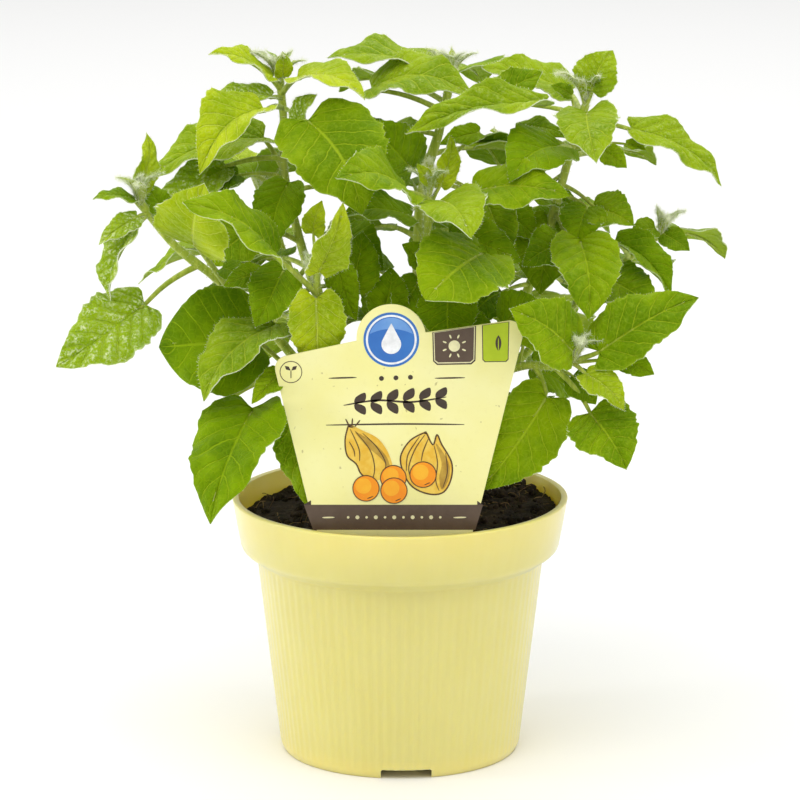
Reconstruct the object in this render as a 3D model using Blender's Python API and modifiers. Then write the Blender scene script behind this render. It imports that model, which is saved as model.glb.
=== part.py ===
"""A potted physalis plant: a plastic pot, its potting soil, a plant label, and stems that carry leaves.

Millimetres in the dimensions below become metres where a mesh is made. The pot stands on z = 0, with its
axis on z, and the label faces -Y.
"""

import math
from dataclasses import dataclass

import bmesh
import bpy
from mathutils import Vector

MM = 0.001
OBJECT_NAME = "potted_physalis_plant"

# Pot
POT_HEIGHT = 92.8
RIM_RADIUS = 60.0
RIM_BAND_HEIGHT = 17.6
RIM_BAND_TAPER = 2.9
LIP_WIDTH = 2.4
WALL = 1.4
SHOULDER_RADIUS = 51.2
SHOULDER_HEIGHT = 71.2
FOOT_RADIUS = 42.8
FOOT_WIDTH = 2.4
BASE_UNDERSIDE = 4.2
BASE_TOP = BASE_UNDERSIDE + WALL
POT_STEPS = 48
NOTCH_COUNT = 3
NOTCH_WIDTH = 18.0
NOTCH_HEIGHT = 3.4
NOTCH_TURN = -87.0
DRAIN_COUNT = 5
DRAIN_RADIUS = 4.0
DRAIN_CIRCLE = 26.0
CUTTER_DEPTH = 12.0
CUTTER_MARGIN = 2.0

# Soil
GAP = 0.35
SOIL_EDGE = 85.0
SOIL_HEAP = 3.0
SOCKET_DEPTH = 16.0
SOCKET_TOP = 95.0

# Plant label
LABEL_Y = -46.0
LABEL_THICKNESS = 0.8
LABEL_BUMP_CENTRE = (-3.0, 160.0)
LABEL_BUMP_RADIUS = 12.0
LABEL_BAND_TOP = 101.0
LABEL_CARD_FOOT = 92.0
STAKE_HALF_WIDTH = 12.0
STAKE_TOP = 88.0
STAKE_POINT = 8.0
STAKE_FOOT = 60.0
STAKE_SLOT_GAP = 0.4

# Stems and leaves
STEM_SIDES_RESOLUTION = 2
STRAIGHT_FOOT = 4.0
LEAF_THICKNESS = 0.7
PETIOLE_HALF_WIDTH = 0.7
PETIOLE_ROWS = 3
BLADE_ROWS = 7
FRONT = (0.0, -0.75, 0.65)
UP = (0.0, -0.35, 0.95)

POT_YELLOW = (0.76, 0.69, 0.24, 1.0)
SOIL_BROWN = (0.035, 0.022, 0.015, 1.0)
LABEL_CREAM = (0.91, 0.86, 0.36, 1.0)
STEM_GREEN = (0.22, 0.32, 0.04, 1.0)
LEAF_YOUNG = (0.36, 0.50, 0.03, 1.0)
LEAF_GREEN = (0.17, 0.34, 0.01, 1.0)
LEAF_DARK = (0.08, 0.20, 0.01, 1.0)


@dataclass(frozen=True)
class Leaf:
    """One leaf: where its petiole leaves the stem (a share of the stem), and its blade."""

    name: str
    at: float
    base: tuple
    tip: tuple
    width: float
    face: tuple = FRONT
    colour: tuple = LEAF_GREEN
    droop: float = 0.10
    fold: float = 0.12
    lobe: float = 0.10


@dataclass(frozen=True)
class Stem:
    """One shoot from the soil: the points it passes, its radius at the foot and at the top, its leaves."""

    name: str
    points: tuple
    foot_radius: float
    top_radius: float
    leaves: tuple


STEMS = (
    Stem("stem_left",
         ((-13, -6), (-15, -8, 108), (-30, -10, 135), (-48, -10, 158),
          (-63, -12, 173), (-79, -16, 187), (-90, -23, 203)),
         2.1, 1.3,
         (Leaf("leaf_far_left", 0.80, (-89, -24, 167), (-119, -40, 149), 36,
               (-0.2, -0.85, 0.5), lobe=0.16),
          Leaf("leaf_left_hanging", 0.97, (-92, -27, 194), (-101, -34, 171), 16, (-0.9, -0.4, 0.2)),
          Leaf("leaf_left_lit", 0.72, (-71, -30, 190), (-67, -48, 214), 27,
               (0.3, -0.85, 0.2), LEAF_YOUNG),
          Leaf("leaf_left_round", 0.38, (-50, -22, 154), (-84, -26, 153), 38,
               (-0.1, -0.8, 0.6), LEAF_DARK))),
    Stem("stem_tall_left",
         ((-15, 7), (-17, 8, 108), (-26, 10, 150), (-36, 10, 185),
          (-41, 8, 209), (-41, 4, 228), (-42, 3, 241)),
         2.1, 1.2,
         (Leaf("leaf_top_left", 0.99, (-45, -1, 243), (-66, -12, 254), 13, UP, LEAF_YOUNG),
          Leaf("leaf_tall_left_hanging", 0.95, (-47, -14, 234), (-69, -34, 216), 24,
               (-0.5, -0.7, 0.5), LEAF_YOUNG),
          Leaf("leaf_tall_left_side", 0.82, (-48, 10, 220), (-88, -4, 209), 24, UP),
          Leaf("leaf_top_left_inner", 0.98, (-36, -6, 244), (-12, -20, 240), 20, UP, LEAF_YOUNG),
          Leaf("leaf_centre_large", 0.90, (-32, -18, 231), (-13, -37, 202), 35, (0.1, -0.8, 0.6)))),
    Stem("stem_front_left",
         ((-10, -21), (-12, -22, 106), (-17, -27, 130), (-24, -33, 155), (-29, -37, 178)),
         1.9, 1.3,
         (Leaf("leaf_front_left_raised", 0.96, (-43, -42, 188), (-73, -64, 211), 26, (0.3, -0.6, 0.75)),
          Leaf("leaf_front_upright", 0.99, (-28, -42, 183), (-19, -54, 208), 15,
               (0.4, -0.9, 0.2), LEAF_YOUNG),
          Leaf("leaf_front_heart", 0.93, (-29, -41, 173), (-29, -42, 147), 19,
               (0, -1, 0.2), LEAF_YOUNG, fold=0.02),
          Leaf("leaf_front_left_inner", 0.85, (-40, -30, 181), (-50, -40, 163), 17,
               (-0.3, -0.9, 0.4), LEAF_DARK),
          Leaf("leaf_front_left_side", 0.62, (-43, -30, 161), (-68, -54, 141), 26, (-0.4, -0.6, 0.7)),
          Leaf("leaf_low_left", 0.52, (-51, -39, 133), (-65, -79, 104), 32, (-0.3, -0.9, 0.45)),
          Leaf("leaf_low_left_inner", 0.34, (-37, -36, 132), (-27, -42, 94), 18,
               (-0.2, -1, 0.1), LEAF_DARK, fold=0.03, droop=0.02))),
    Stem("stem_centre",
         ((3, -9), (3, -10, 108), (6, -13, 140), (9, -16, 175), (10, -19, 205)),
         1.9, 1.3,
         (Leaf("leaf_centre_pale", 0.97, (14, -26, 204), (24, -58, 199), 24, FRONT, LEAF_YOUNG),
          Leaf("leaf_centre_left", 0.99, (2, -29, 208), (-21, -62, 219), 22,
               (0.2, -0.6, 0.8), LEAF_YOUNG),
          Leaf("leaf_centre_dark", 0.88, (4, -12, 196), (-20, -18, 198), 17, UP, LEAF_DARK),
          Leaf("leaf_centre_round", 0.80, (29, -32, 187), (9, -60, 177), 30, FRONT),
          Leaf("leaf_centre_low", 0.62, (17, -22, 171), (17, -30, 153), 20, (0, -1, 0.3), LEAF_DARK),
          Leaf("leaf_centre_right", 0.93, (26, -24, 207), (58, -38, 209), 21, (0, -0.6, 0.8)))),
    Stem("stem_back_centre",
         ((5, 9), (5, 10, 110), (6, 10, 151), (7, 13, 196), (14, 17, 222), (18, 20, 240)),
         2.3, 1.3,
         (Leaf("leaf_top_centre_back", 0.99, (15, 23, 244), (-25, 9, 251), 26, (0, -0.2, 1)),
          Leaf("leaf_top_centre", 0.93, (-10, 8, 238), (26, -6, 238), 22, (0, -0.4, 0.9)),
          Leaf("leaf_upper_centre", 0.82, (4, 3, 210), (-11, -6, 229), 22, (0.3, -0.8, 0.5), LEAF_DARK),
          Leaf("leaf_top_right_inner", 0.95, (32, 5, 235), (50, 4, 245), 13, (0, -0.6, 0.8)),
          Leaf("leaf_rear_top", 0.98, (20, 32, 240), (30, 66, 232), 26, (0, 0.4, 0.9)))),
    Stem("stem_right",
         ((15, 3), (16, 3, 106), (26, 4, 128), (40, 3, 155),
          (50, 2, 180), (57, 0, 206), (62, -4, 226), (65, -6, 235)),
         2.1, 1.3,
         (Leaf("leaf_right_top", 0.98, (67, -9, 240), (74, -6, 254), 15, (-0.3, -0.9, 0.3), LEAF_YOUNG),
          Leaf("leaf_right_heart", 0.93, (65, -14, 233), (67, -46, 222), 21, FRONT),
          Leaf("leaf_right_tip", 0.96, (81, -6, 226), (114, 4, 205), 18, (0.4, -0.4, 0.8)),
          Leaf("leaf_right_long", 0.97, (50, -11, 235), (2, -23, 228), 17, UP),
          Leaf("leaf_right_inner", 0.90, (56, -12, 221), (38, -34, 214), 23, FRONT, LEAF_DARK),
          Leaf("leaf_right_back_top", 0.97, (60, 21, 235), (29, 22, 244), 19, UP),
          Leaf("leaf_right_quilted", 0.70, (63, -16, 188), (65, -44, 167), 27, (0, -0.8, 0.6)))),
    Stem("stem_front_right",
         ((11, -20), (12, -21, 106), (20, -24, 125), (31, -28, 141),
          (43, -31, 147), (53, -36, 148), (60, -39, 151)),
         1.9, 1.3,
         (Leaf("leaf_front_right_raised", 0.985, (59, -44, 155), (38, -54, 172), 22,
               (0, -0.8, 0.6), LEAF_DARK),
          Leaf("leaf_front_right", 0.97, (69, -41, 154), (103, -38, 173), 29, (0.1, -0.75, 0.65)),
          Leaf("leaf_low_right", 0.93, (66, -40, 132), (78, -56, 116), 23, (0, -0.9, 0.4)),
          Leaf("leaf_low_centre_right", 0.86, (51, -36, 137), (28, -42, 105), 24,
               (0.2, -0.95, 0.3), fold=0.03, droop=0.03))),
    Stem("stem_far_right",
         ((17, 14), (19, 15, 106), (36, 19, 130), (61, 21, 156), (80, 18, 174), (93, 16, 185)),
         1.9, 1.2,
         (Leaf("leaf_far_right_folded", 0.90, (76, 6, 184), (96, -6, 166), 16,
               (0.5, -0.6, 0.6), LEAF_DARK),
          Leaf("leaf_far_right_low", 0.70, (72, 4, 171), (91, -10, 163), 18, (0.2, -0.7, 0.7)),
          Leaf("leaf_far_right_rear", 0.98, (97, 24, 184), (118, 38, 172), 24, (0.3, 0.3, 0.9)))),
    Stem("stem_rear_left",
         ((-9, 21), (-10, 22, 106), (-22, 34, 130), (-38, 48, 160), (-50, 56, 192)),
         1.9, 1.2,
         (Leaf("leaf_rear_left_top", 0.98, (-54, 60, 198), (-72, 78, 208), 24,
               (-0.3, 0.5, 0.8), LEAF_YOUNG),
          Leaf("leaf_rear_left_side", 0.80, (-60, 48, 172), (-96, 52, 160), 34, (-0.3, 0.2, 0.9)),
          Leaf("leaf_rear_left_low", 0.55, (-44, 62, 146), (-54, 78, 122), 32, (-0.3, 0.8, 0.5)))),
    Stem("stem_rear_right",
         ((9, 23), (10, 24, 106), (20, 38, 130), (34, 50, 160), (44, 56, 196)),
         1.9, 1.2,
         (Leaf("leaf_rear_right_top", 0.98, (52, 58, 200), (78, 66, 208), 26, (0.3, 0.4, 0.9)),
          Leaf("leaf_rear_right_low", 0.60, (44, 62, 150), (62, 77, 128), 33, (0.3, 0.8, 0.5)),
          Leaf("leaf_rear_centre", 0.85, (24, 64, 178), (6, 79, 160), 32, (0, 0.8, 0.6), LEAF_DARK))),
)


def clear_scene():
    """Remove whatever the scene holds."""
    for thing in list(bpy.data.objects):
        bpy.data.objects.remove(thing, do_unlink=True)


def material(name, colour, roughness=0.55):
    """A plain Principled material."""
    made = bpy.data.materials.new(name)
    made.use_nodes = True
    shader = made.node_tree.nodes["Principled BSDF"]
    shader.inputs["Base Color"].default_value = colour
    shader.inputs["Roughness"].default_value = roughness
    shader.inputs["Metallic"].default_value = 0.0
    return made


def add_object(name, data, collection, finish=None):
    """An object of this data in the collection."""
    thing = bpy.data.objects.new(name, data)
    collection.objects.link(thing)
    if finish is not None:
        data.materials.append(finish)
    return thing


def turned(name, profile, collection, finish):
    """A closed turned solid. The profile (radius, height) starts and ends on the axis."""
    shape = bmesh.new()
    points = [shape.verts.new((radius * MM, 0.0, height * MM)) for radius, height in profile]
    for first, second in zip(points, points[1:]):
        shape.edges.new((first, second))
    mesh = bpy.data.meshes.new(name)
    shape.to_mesh(mesh)
    shape.free()
    thing = add_object(name, mesh, collection, finish)
    screw = thing.modifiers.new("turn", "SCREW")
    screw.axis = "Z"
    screw.steps = POT_STEPS
    screw.render_steps = POT_STEPS
    screw.use_merge_vertices = True
    screw.merge_threshold = 0.0001
    return thing


def cut(thing, cutters):
    """Take the cutters away from the object."""
    for cutter in cutters:
        boolean = thing.modifiers.new("cut_" + cutter.name, "BOOLEAN")
        boolean.operation = "DIFFERENCE"
        boolean.solver = "EXACT"
        boolean.object = cutter


def as_cutter(thing):
    """Hide a helper from the render, drawn as wire."""
    thing.hide_render = True
    thing.display_type = "WIRE"
    return thing


def cylinder_cutter(name, centre, radius, bottom, top, collection):
    """An upright cylinder that cuts."""
    shape = bmesh.new()
    bmesh.ops.create_cone(shape, cap_ends=True, segments=16, radius1=radius * MM, radius2=radius * MM,
                          depth=(top - bottom) * MM)
    mesh = bpy.data.meshes.new(name)
    shape.to_mesh(mesh)
    shape.free()
    thing = as_cutter(add_object(name, mesh, collection))
    thing.location = (centre[0] * MM, centre[1] * MM, (top + bottom) / 2 * MM)
    return thing


def box_cutter(name, centre, size, turn, collection):
    """A box that cuts, turned about z."""
    shape = bmesh.new()
    bmesh.ops.create_cube(shape, size=1.0)
    mesh = bpy.data.meshes.new(name)
    shape.to_mesh(mesh)
    shape.free()
    thing = as_cutter(add_object(name, mesh, collection))
    thing.scale = [side * MM for side in size]
    thing.location = [place * MM for place in centre]
    thing.rotation_euler.z = turn
    return thing


def inner_radius(height):
    """The pot's inside radius at a height."""
    floor_radius = FOOT_RADIUS - WALL + 0.6
    shoulder_inside = SHOULDER_RADIUS - WALL
    band_foot = POT_HEIGHT - RIM_BAND_HEIGHT
    band_inside = RIM_RADIUS - RIM_BAND_TAPER - WALL
    if height <= SHOULDER_HEIGHT:
        share = (height - BASE_TOP) / (SHOULDER_HEIGHT - BASE_TOP)
        return floor_radius + share * (shoulder_inside - floor_radius)
    if height <= band_foot:
        share = (height - SHOULDER_HEIGHT) / (band_foot - SHOULDER_HEIGHT)
        return shoulder_inside + share * (band_inside - shoulder_inside)
    share = (height - band_foot) / RIM_BAND_HEIGHT
    return band_inside + share * (RIM_RADIUS - LIP_WIDTH - band_inside)


def build_pot(parts, helpers):
    """The pot: a turned shell with a stepped rim, a foot ring with notches and drain holes."""
    band_foot = POT_HEIGHT - RIM_BAND_HEIGHT
    band_radius = RIM_RADIUS - RIM_BAND_TAPER
    profile = [
        (0.0, BASE_TOP),
        (inner_radius(BASE_TOP), BASE_TOP),
        (inner_radius(SHOULDER_HEIGHT), SHOULDER_HEIGHT),
        (inner_radius(band_foot), band_foot),
        (inner_radius(POT_HEIGHT), POT_HEIGHT),
        (RIM_RADIUS, POT_HEIGHT),
        (band_radius, band_foot + 1.2),
        (band_radius - 0.8, band_foot - 0.6),
        (SHOULDER_RADIUS + 0.5, SHOULDER_HEIGHT),
        (SHOULDER_RADIUS, SHOULDER_HEIGHT - 1.2),
        (FOOT_RADIUS + 0.5, 3.0),
        (FOOT_RADIUS - 0.4, 0.6),
        (FOOT_RADIUS - 1.0, 0.0),
        (FOOT_RADIUS - 1.0 - FOOT_WIDTH, 0.0),
        (FOOT_RADIUS - 1.0 - FOOT_WIDTH, BASE_UNDERSIDE),
        (0.0, BASE_UNDERSIDE),
    ]
    pot = turned("pot", profile, parts, material("pot_plastic", POT_YELLOW, 0.4))
    cutters = []
    for number in range(NOTCH_COUNT):
        turn = math.radians(NOTCH_TURN + number * 360.0 / NOTCH_COUNT)
        middle = (NOTCH_HEIGHT - CUTTER_MARGIN) / 2
        centre = (FOOT_RADIUS * math.cos(turn), FOOT_RADIUS * math.sin(turn), middle)
        size = (CUTTER_DEPTH, NOTCH_WIDTH, NOTCH_HEIGHT + CUTTER_MARGIN)
        cutters.append(box_cutter(f"notch_cutter_{number + 1}", centre, size, turn, helpers))
    for number in range(DRAIN_COUNT):
        turn = math.radians(NOTCH_TURN + (number + 0.5) * 360.0 / DRAIN_COUNT)
        centre = (DRAIN_CIRCLE * math.cos(turn), DRAIN_CIRCLE * math.sin(turn))
        cutters.append(cylinder_cutter(f"drain_cutter_{number + 1}", centre, DRAIN_RADIUS,
                                       BASE_UNDERSIDE - CUTTER_MARGIN, BASE_TOP + CUTTER_MARGIN, helpers))
    cut(pot, cutters)


def build_soil(parts, helpers):
    """The potting soil: it fills the pot and heaps a little to the middle, with a socket for each stem."""
    band_foot = POT_HEIGHT - RIM_BAND_HEIGHT
    profile = [
        (0.0, SOIL_EDGE + SOIL_HEAP),
        (24.0, SOIL_EDGE + 0.85 * SOIL_HEAP),
        (44.0, SOIL_EDGE + 0.4 * SOIL_HEAP),
        (inner_radius(SOIL_EDGE) - GAP, SOIL_EDGE),
        (inner_radius(band_foot) - GAP - 0.2, band_foot),
        (inner_radius(SHOULDER_HEIGHT) - GAP - 0.2, SHOULDER_HEIGHT),
        (inner_radius(BASE_TOP) - GAP, BASE_TOP + GAP),
        (0.0, BASE_TOP + GAP),
    ]
    soil = turned("potting_soil", profile, parts, material("peat_soil", SOIL_BROWN, 0.95))
    cutters = []
    for stem in STEMS:
        foot = stem.points[0]
        cutters.append(cylinder_cutter(f"socket_{stem.name}", foot, stem.foot_radius + GAP + 0.1,
                                       SOIL_EDGE - SOCKET_DEPTH, SOCKET_TOP, helpers))
    slot_size = (2 * STAKE_HALF_WIDTH + 2 * STAKE_SLOT_GAP, LABEL_THICKNESS + 2 * STAKE_SLOT_GAP,
                 SOCKET_TOP - STAKE_FOOT + STAKE_SLOT_GAP)
    slot_centre = (0.0, LABEL_Y, (SOCKET_TOP + STAKE_FOOT - STAKE_SLOT_GAP) / 2)
    cutters.append(box_cutter("label_slot_cutter", slot_centre, slot_size, 0.0, helpers))
    cut(soil, cutters)


def label_outline():
    """The label's outline seen from the front: a card with a slanting top and a round bump, on a stake."""
    bump_x, bump_z = LABEL_BUMP_CENTRE
    stake_shoulder = STAKE_FOOT + STAKE_POINT
    outline = [
        (-STAKE_HALF_WIDTH, STAKE_TOP), (-28.6, STAKE_TOP + 1.0), (-29.0, LABEL_CARD_FOOT),
        (-31.8, LABEL_BAND_TOP),
        (-43.2, 149.5), (-42.6, 152.0), (-40.4, 153.4),
    ]
    for step in range(9):
        turn = math.radians(186.0 - step * 174.0 / 8)
        across = LABEL_BUMP_RADIUS * math.cos(turn)
        outline.append((bump_x + across, bump_z + LABEL_BUMP_RADIUS * math.sin(turn)))
    outline += [
        (38.4, 166.2), (41.4, 165.4), (42.2, 162.6), (28.0, LABEL_BAND_TOP), (25.4, LABEL_CARD_FOOT),
        (25.0, STAKE_TOP + 1.0), (STAKE_HALF_WIDTH, STAKE_TOP), (STAKE_HALF_WIDTH, stake_shoulder),
        (0.0, STAKE_FOOT), (-STAKE_HALF_WIDTH, stake_shoulder),
    ]
    return outline


def build_label(parts):
    """The plant label: a flat card with its stake in the soil."""
    curve = bpy.data.curves.new("plant_label", "CURVE")
    curve.dimensions = "2D"
    curve.fill_mode = "BOTH"
    curve.extrude = LABEL_THICKNESS / 2 * MM
    spline = curve.splines.new("POLY")
    outline = label_outline()
    spline.points.add(len(outline) - 1)
    for point, (across, height) in zip(spline.points, outline):
        point.co = (across * MM, height * MM, 0.0, 1.0)
    spline.use_cyclic_u = True
    label = add_object("plant_label", curve, parts, material("label_card", LABEL_CREAM, 0.6))
    label.location.y = LABEL_Y * MM
    label.rotation_euler.x = math.radians(90.0)


def stem_path(stem):
    """The stem's points in metres, from inside its socket to its top."""
    foot_x, foot_y = stem.points[0]
    inside = Vector((foot_x, foot_y, SOIL_EDGE - SOCKET_DEPTH + GAP))
    surface = Vector((foot_x, foot_y, SOIL_EDGE + SOIL_HEAP + STRAIGHT_FOOT))
    return [point * MM for point in (inside, surface, *map(Vector, stem.points[1:]))]


def smooth_path(points, per_span=2):
    """A Catmull-Rom curve through the points."""
    smooth = []
    for index in range(len(points) - 1):
        before = points[max(index - 1, 0)]
        start, end = points[index], points[index + 1]
        after = points[min(index + 2, len(points) - 1)]
        for step in range(per_span):
            share = step / per_span
            smooth.append(0.5 * (2 * start + (end - before) * share
                                 + (2 * before - 5 * start + 4 * end - after) * share ** 2
                                 + (3 * start - before - 3 * end + after) * share ** 3))
    return smooth + [points[-1]]


def point_along(points, share):
    """The point, and the direction, at a share of a path's length."""
    lengths = [(b - a).length for a, b in zip(points, points[1:])]
    left = share * sum(lengths)
    for start, end, length in zip(points, points[1:], lengths):
        if left <= length:
            return start.lerp(end, left / length), (end - start).normalized()
        left -= length
    return points[-1], (points[-1] - points[-2]).normalized()


def build_stem(stem, parts, finish):
    """A stem: a tapering tube along its path."""
    path = smooth_path(stem_path(stem))
    curve = bpy.data.curves.new(stem.name, "CURVE")
    curve.dimensions = "3D"
    curve.bevel_depth = stem.foot_radius * MM
    curve.bevel_resolution = STEM_SIDES_RESOLUTION
    curve.use_fill_caps = True
    spline = curve.splines.new("POLY")
    spline.points.add(len(path) - 1)
    for index, (point, place) in enumerate(zip(spline.points, path)):
        point.co = (*place, 1.0)
        share = index / (len(path) - 1)
        point.radius = 1.0 + share * (stem.top_radius / stem.foot_radius - 1.0)
    add_object(stem.name, curve, parts, finish)
    return path


def blade_half_width(share):
    """Half the blade's width, as a share of its full width, from base (0) to tip (1)."""
    return 0.5 * math.sin(math.pi * share ** 0.62) ** 0.85 if 0.0 < share < 1.0 else 0.0


def build_leaf(leaf, stem, path, parts, finish):
    """A leaf: a narrow petiole and a folded, drooping blade, as one thin closed sheet."""
    shares = [row / PETIOLE_ROWS for row in range(PETIOLE_ROWS)]
    on_stem, upward = point_along(path, leaf.at)
    base, tip = Vector(leaf.base) * MM, Vector(leaf.tip) * MM
    radius = (stem.foot_radius + leaf.at * (stem.top_radius - stem.foot_radius)) * MM
    outward = (base - on_stem) - (base - on_stem).dot(upward) * upward
    root = on_stem + outward.normalized() * (radius + (GAP + PETIOLE_HALF_WIDTH) * MM)
    along = (tip - base).normalized()
    length = (tip - base).length
    face = Vector(leaf.face)
    normal = (face - face.dot(along) * along).normalized()
    side = along.cross(normal)
    shape = bmesh.new()
    rows = PETIOLE_ROWS + BLADE_ROWS
    bmesh.ops.create_grid(shape, x_segments=2, y_segments=rows, size=1.0)
    for vertex in shape.verts:
        across = vertex.co.x
        row = round((vertex.co.y + 1.0) / 2.0 * rows)
        if row < PETIOLE_ROWS:
            centre = root.lerp(base, shares[row])
            vertex.co = centre + side * across * PETIOLE_HALF_WIDTH * MM
            continue
        share = (row - PETIOLE_ROWS) / BLADE_ROWS
        half = max(blade_half_width(share) * leaf.width, PETIOLE_HALF_WIDTH) * MM
        back = leaf.lobe * length * across ** 2 * (1.0 - share) ** 3 if row > PETIOLE_ROWS else 0.0
        centre = base + along * (share * length - back)
        lift = abs(across) * half * leaf.fold + leaf.droop * length * (4 * share * (1 - share))
        vertex.co = centre + side * across * half + normal * lift
    bmesh.ops.recalc_face_normals(shape, faces=shape.faces)
    mesh = bpy.data.meshes.new(leaf.name)
    shape.to_mesh(mesh)
    shape.free()
    thing = add_object(leaf.name, mesh, parts, finish)
    solidify = thing.modifiers.new("thickness", "SOLIDIFY")
    solidify.thickness = LEAF_THICKNESS * MM
    solidify.offset = 0.0


def main():
    """Clear the scene, then build the pot, its soil, the label and every stem with its leaves."""
    clear_scene()
    parts = bpy.data.collections.new(OBJECT_NAME)
    helpers = bpy.data.collections.new("cutters")
    for collection in (parts, helpers):
        bpy.context.scene.collection.children.link(collection)
    build_pot(parts, helpers)
    build_soil(parts, helpers)
    build_label(parts)
    bark = material("stem_green", STEM_GREEN, 0.6)
    finishes = {
        LEAF_YOUNG: material("leaf_young", LEAF_YOUNG, 0.6),
        LEAF_GREEN: material("leaf_green", LEAF_GREEN, 0.55),
        LEAF_DARK: material("leaf_dark", LEAF_DARK, 0.55),
    }
    for stem in STEMS:
        path = build_stem(stem, parts, bark)
        for leaf in stem.leaves:
            build_leaf(leaf, stem, path, parts, finishes[leaf.colour])


main()
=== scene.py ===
"""The looks of a potted physalis plant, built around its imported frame.

Every piece takes its place from the frame's boxes or from the plans below. Plans are in millimetres, with the
pot's axis on z and the label's face towards -Y, and MM turns them into metres.
"""

from __future__ import annotations

import logging
import math
import random
from collections.abc import Iterator
from contextlib import contextmanager
from dataclasses import dataclass, field
from enum import Enum
from functools import cache

import bmesh
import bpy
import numpy as np
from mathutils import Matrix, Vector, noise


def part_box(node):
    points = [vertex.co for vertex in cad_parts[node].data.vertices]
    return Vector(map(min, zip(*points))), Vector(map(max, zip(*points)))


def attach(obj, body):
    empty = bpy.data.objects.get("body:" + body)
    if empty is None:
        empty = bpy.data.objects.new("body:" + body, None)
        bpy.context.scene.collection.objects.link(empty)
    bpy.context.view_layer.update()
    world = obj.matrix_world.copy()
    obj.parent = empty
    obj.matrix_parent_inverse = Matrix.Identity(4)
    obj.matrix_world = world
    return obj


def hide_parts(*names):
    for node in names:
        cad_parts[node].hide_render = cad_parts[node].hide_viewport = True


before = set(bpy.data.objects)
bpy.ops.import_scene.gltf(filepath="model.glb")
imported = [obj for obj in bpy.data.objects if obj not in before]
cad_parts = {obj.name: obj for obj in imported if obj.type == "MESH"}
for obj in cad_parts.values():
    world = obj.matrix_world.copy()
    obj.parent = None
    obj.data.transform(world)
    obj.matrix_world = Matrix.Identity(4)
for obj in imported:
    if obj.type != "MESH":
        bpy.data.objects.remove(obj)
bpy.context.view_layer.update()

LOG = logging.getLogger("potted_physalis")
MM = 0.001
BODY = "root"
FRONT = (0.0, -0.75, 0.65)
UP = (0.0, -0.35, 0.95)
ASIDE = (0.31, 0.94, 0.13)
SMALL_LEAF = 14 * MM
SIDE_VEINS = 6.0
VEIN_LEAN = 0.42
VEIN_TAPER = 0.55

Point = tuple[float, float, float]
Colour = tuple[float, float, float, float]
Outline = list[tuple[float, float]]
Piece = bpy.types.Object
Material = bpy.types.Material
Socket = bpy.types.NodeSocket


class Tone(Enum):
    """How old a leaf looks: its colour family. Silver and downy leaves carry the most painted sheen."""

    YOUNG = "young"
    FRESH = "fresh"
    DEEP = "deep"
    SILVER = "silver"
    DOWNY = "downy"


# ---------------------------------------------------------------- plans


@dataclass(frozen=True)
class LeafPlan:
    """One leaf: where its petiole leaves the stem (a share of the stem), and how its blade lies.

    An empty node means that the leaf stands for no node of the frame.
    """

    node: str
    at: float
    base: Point
    tip: Point
    width: float
    face: Point = FRONT
    tone: Tone = Tone.FRESH
    droop: float = 0.10
    fold: float = 14.0
    cup: float = 0.10
    lobe: float = 0.12
    point: float = 0.95
    ruffle: float = 0.045
    quilt: float = 0.016
    teeth: float = 0.06


@dataclass(frozen=True)
class ShootPlan:
    """One stem from the soil, the leaves that it carries and the tuft of tiny leaves at its top."""

    node: str
    points: tuple
    foot_radius: float
    top_radius: float
    leaves: tuple[LeafPlan, ...]
    tuft: int = 7
    tuft_size: float = 10.0
    rear_leaves: int = 0


def leaf(node: str, at: float, base: Point, tip: Point, width: float, face: Point = FRONT,
         tone: Tone = Tone.FRESH, **shape: float) -> LeafPlan:
    """A leaf's plan in one short line."""
    return LeafPlan(node, at, base, tip, width, face, tone, **shape)


Y, F, D, S, W = Tone.YOUNG, Tone.FRESH, Tone.DEEP, Tone.SILVER, Tone.DOWNY

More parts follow.
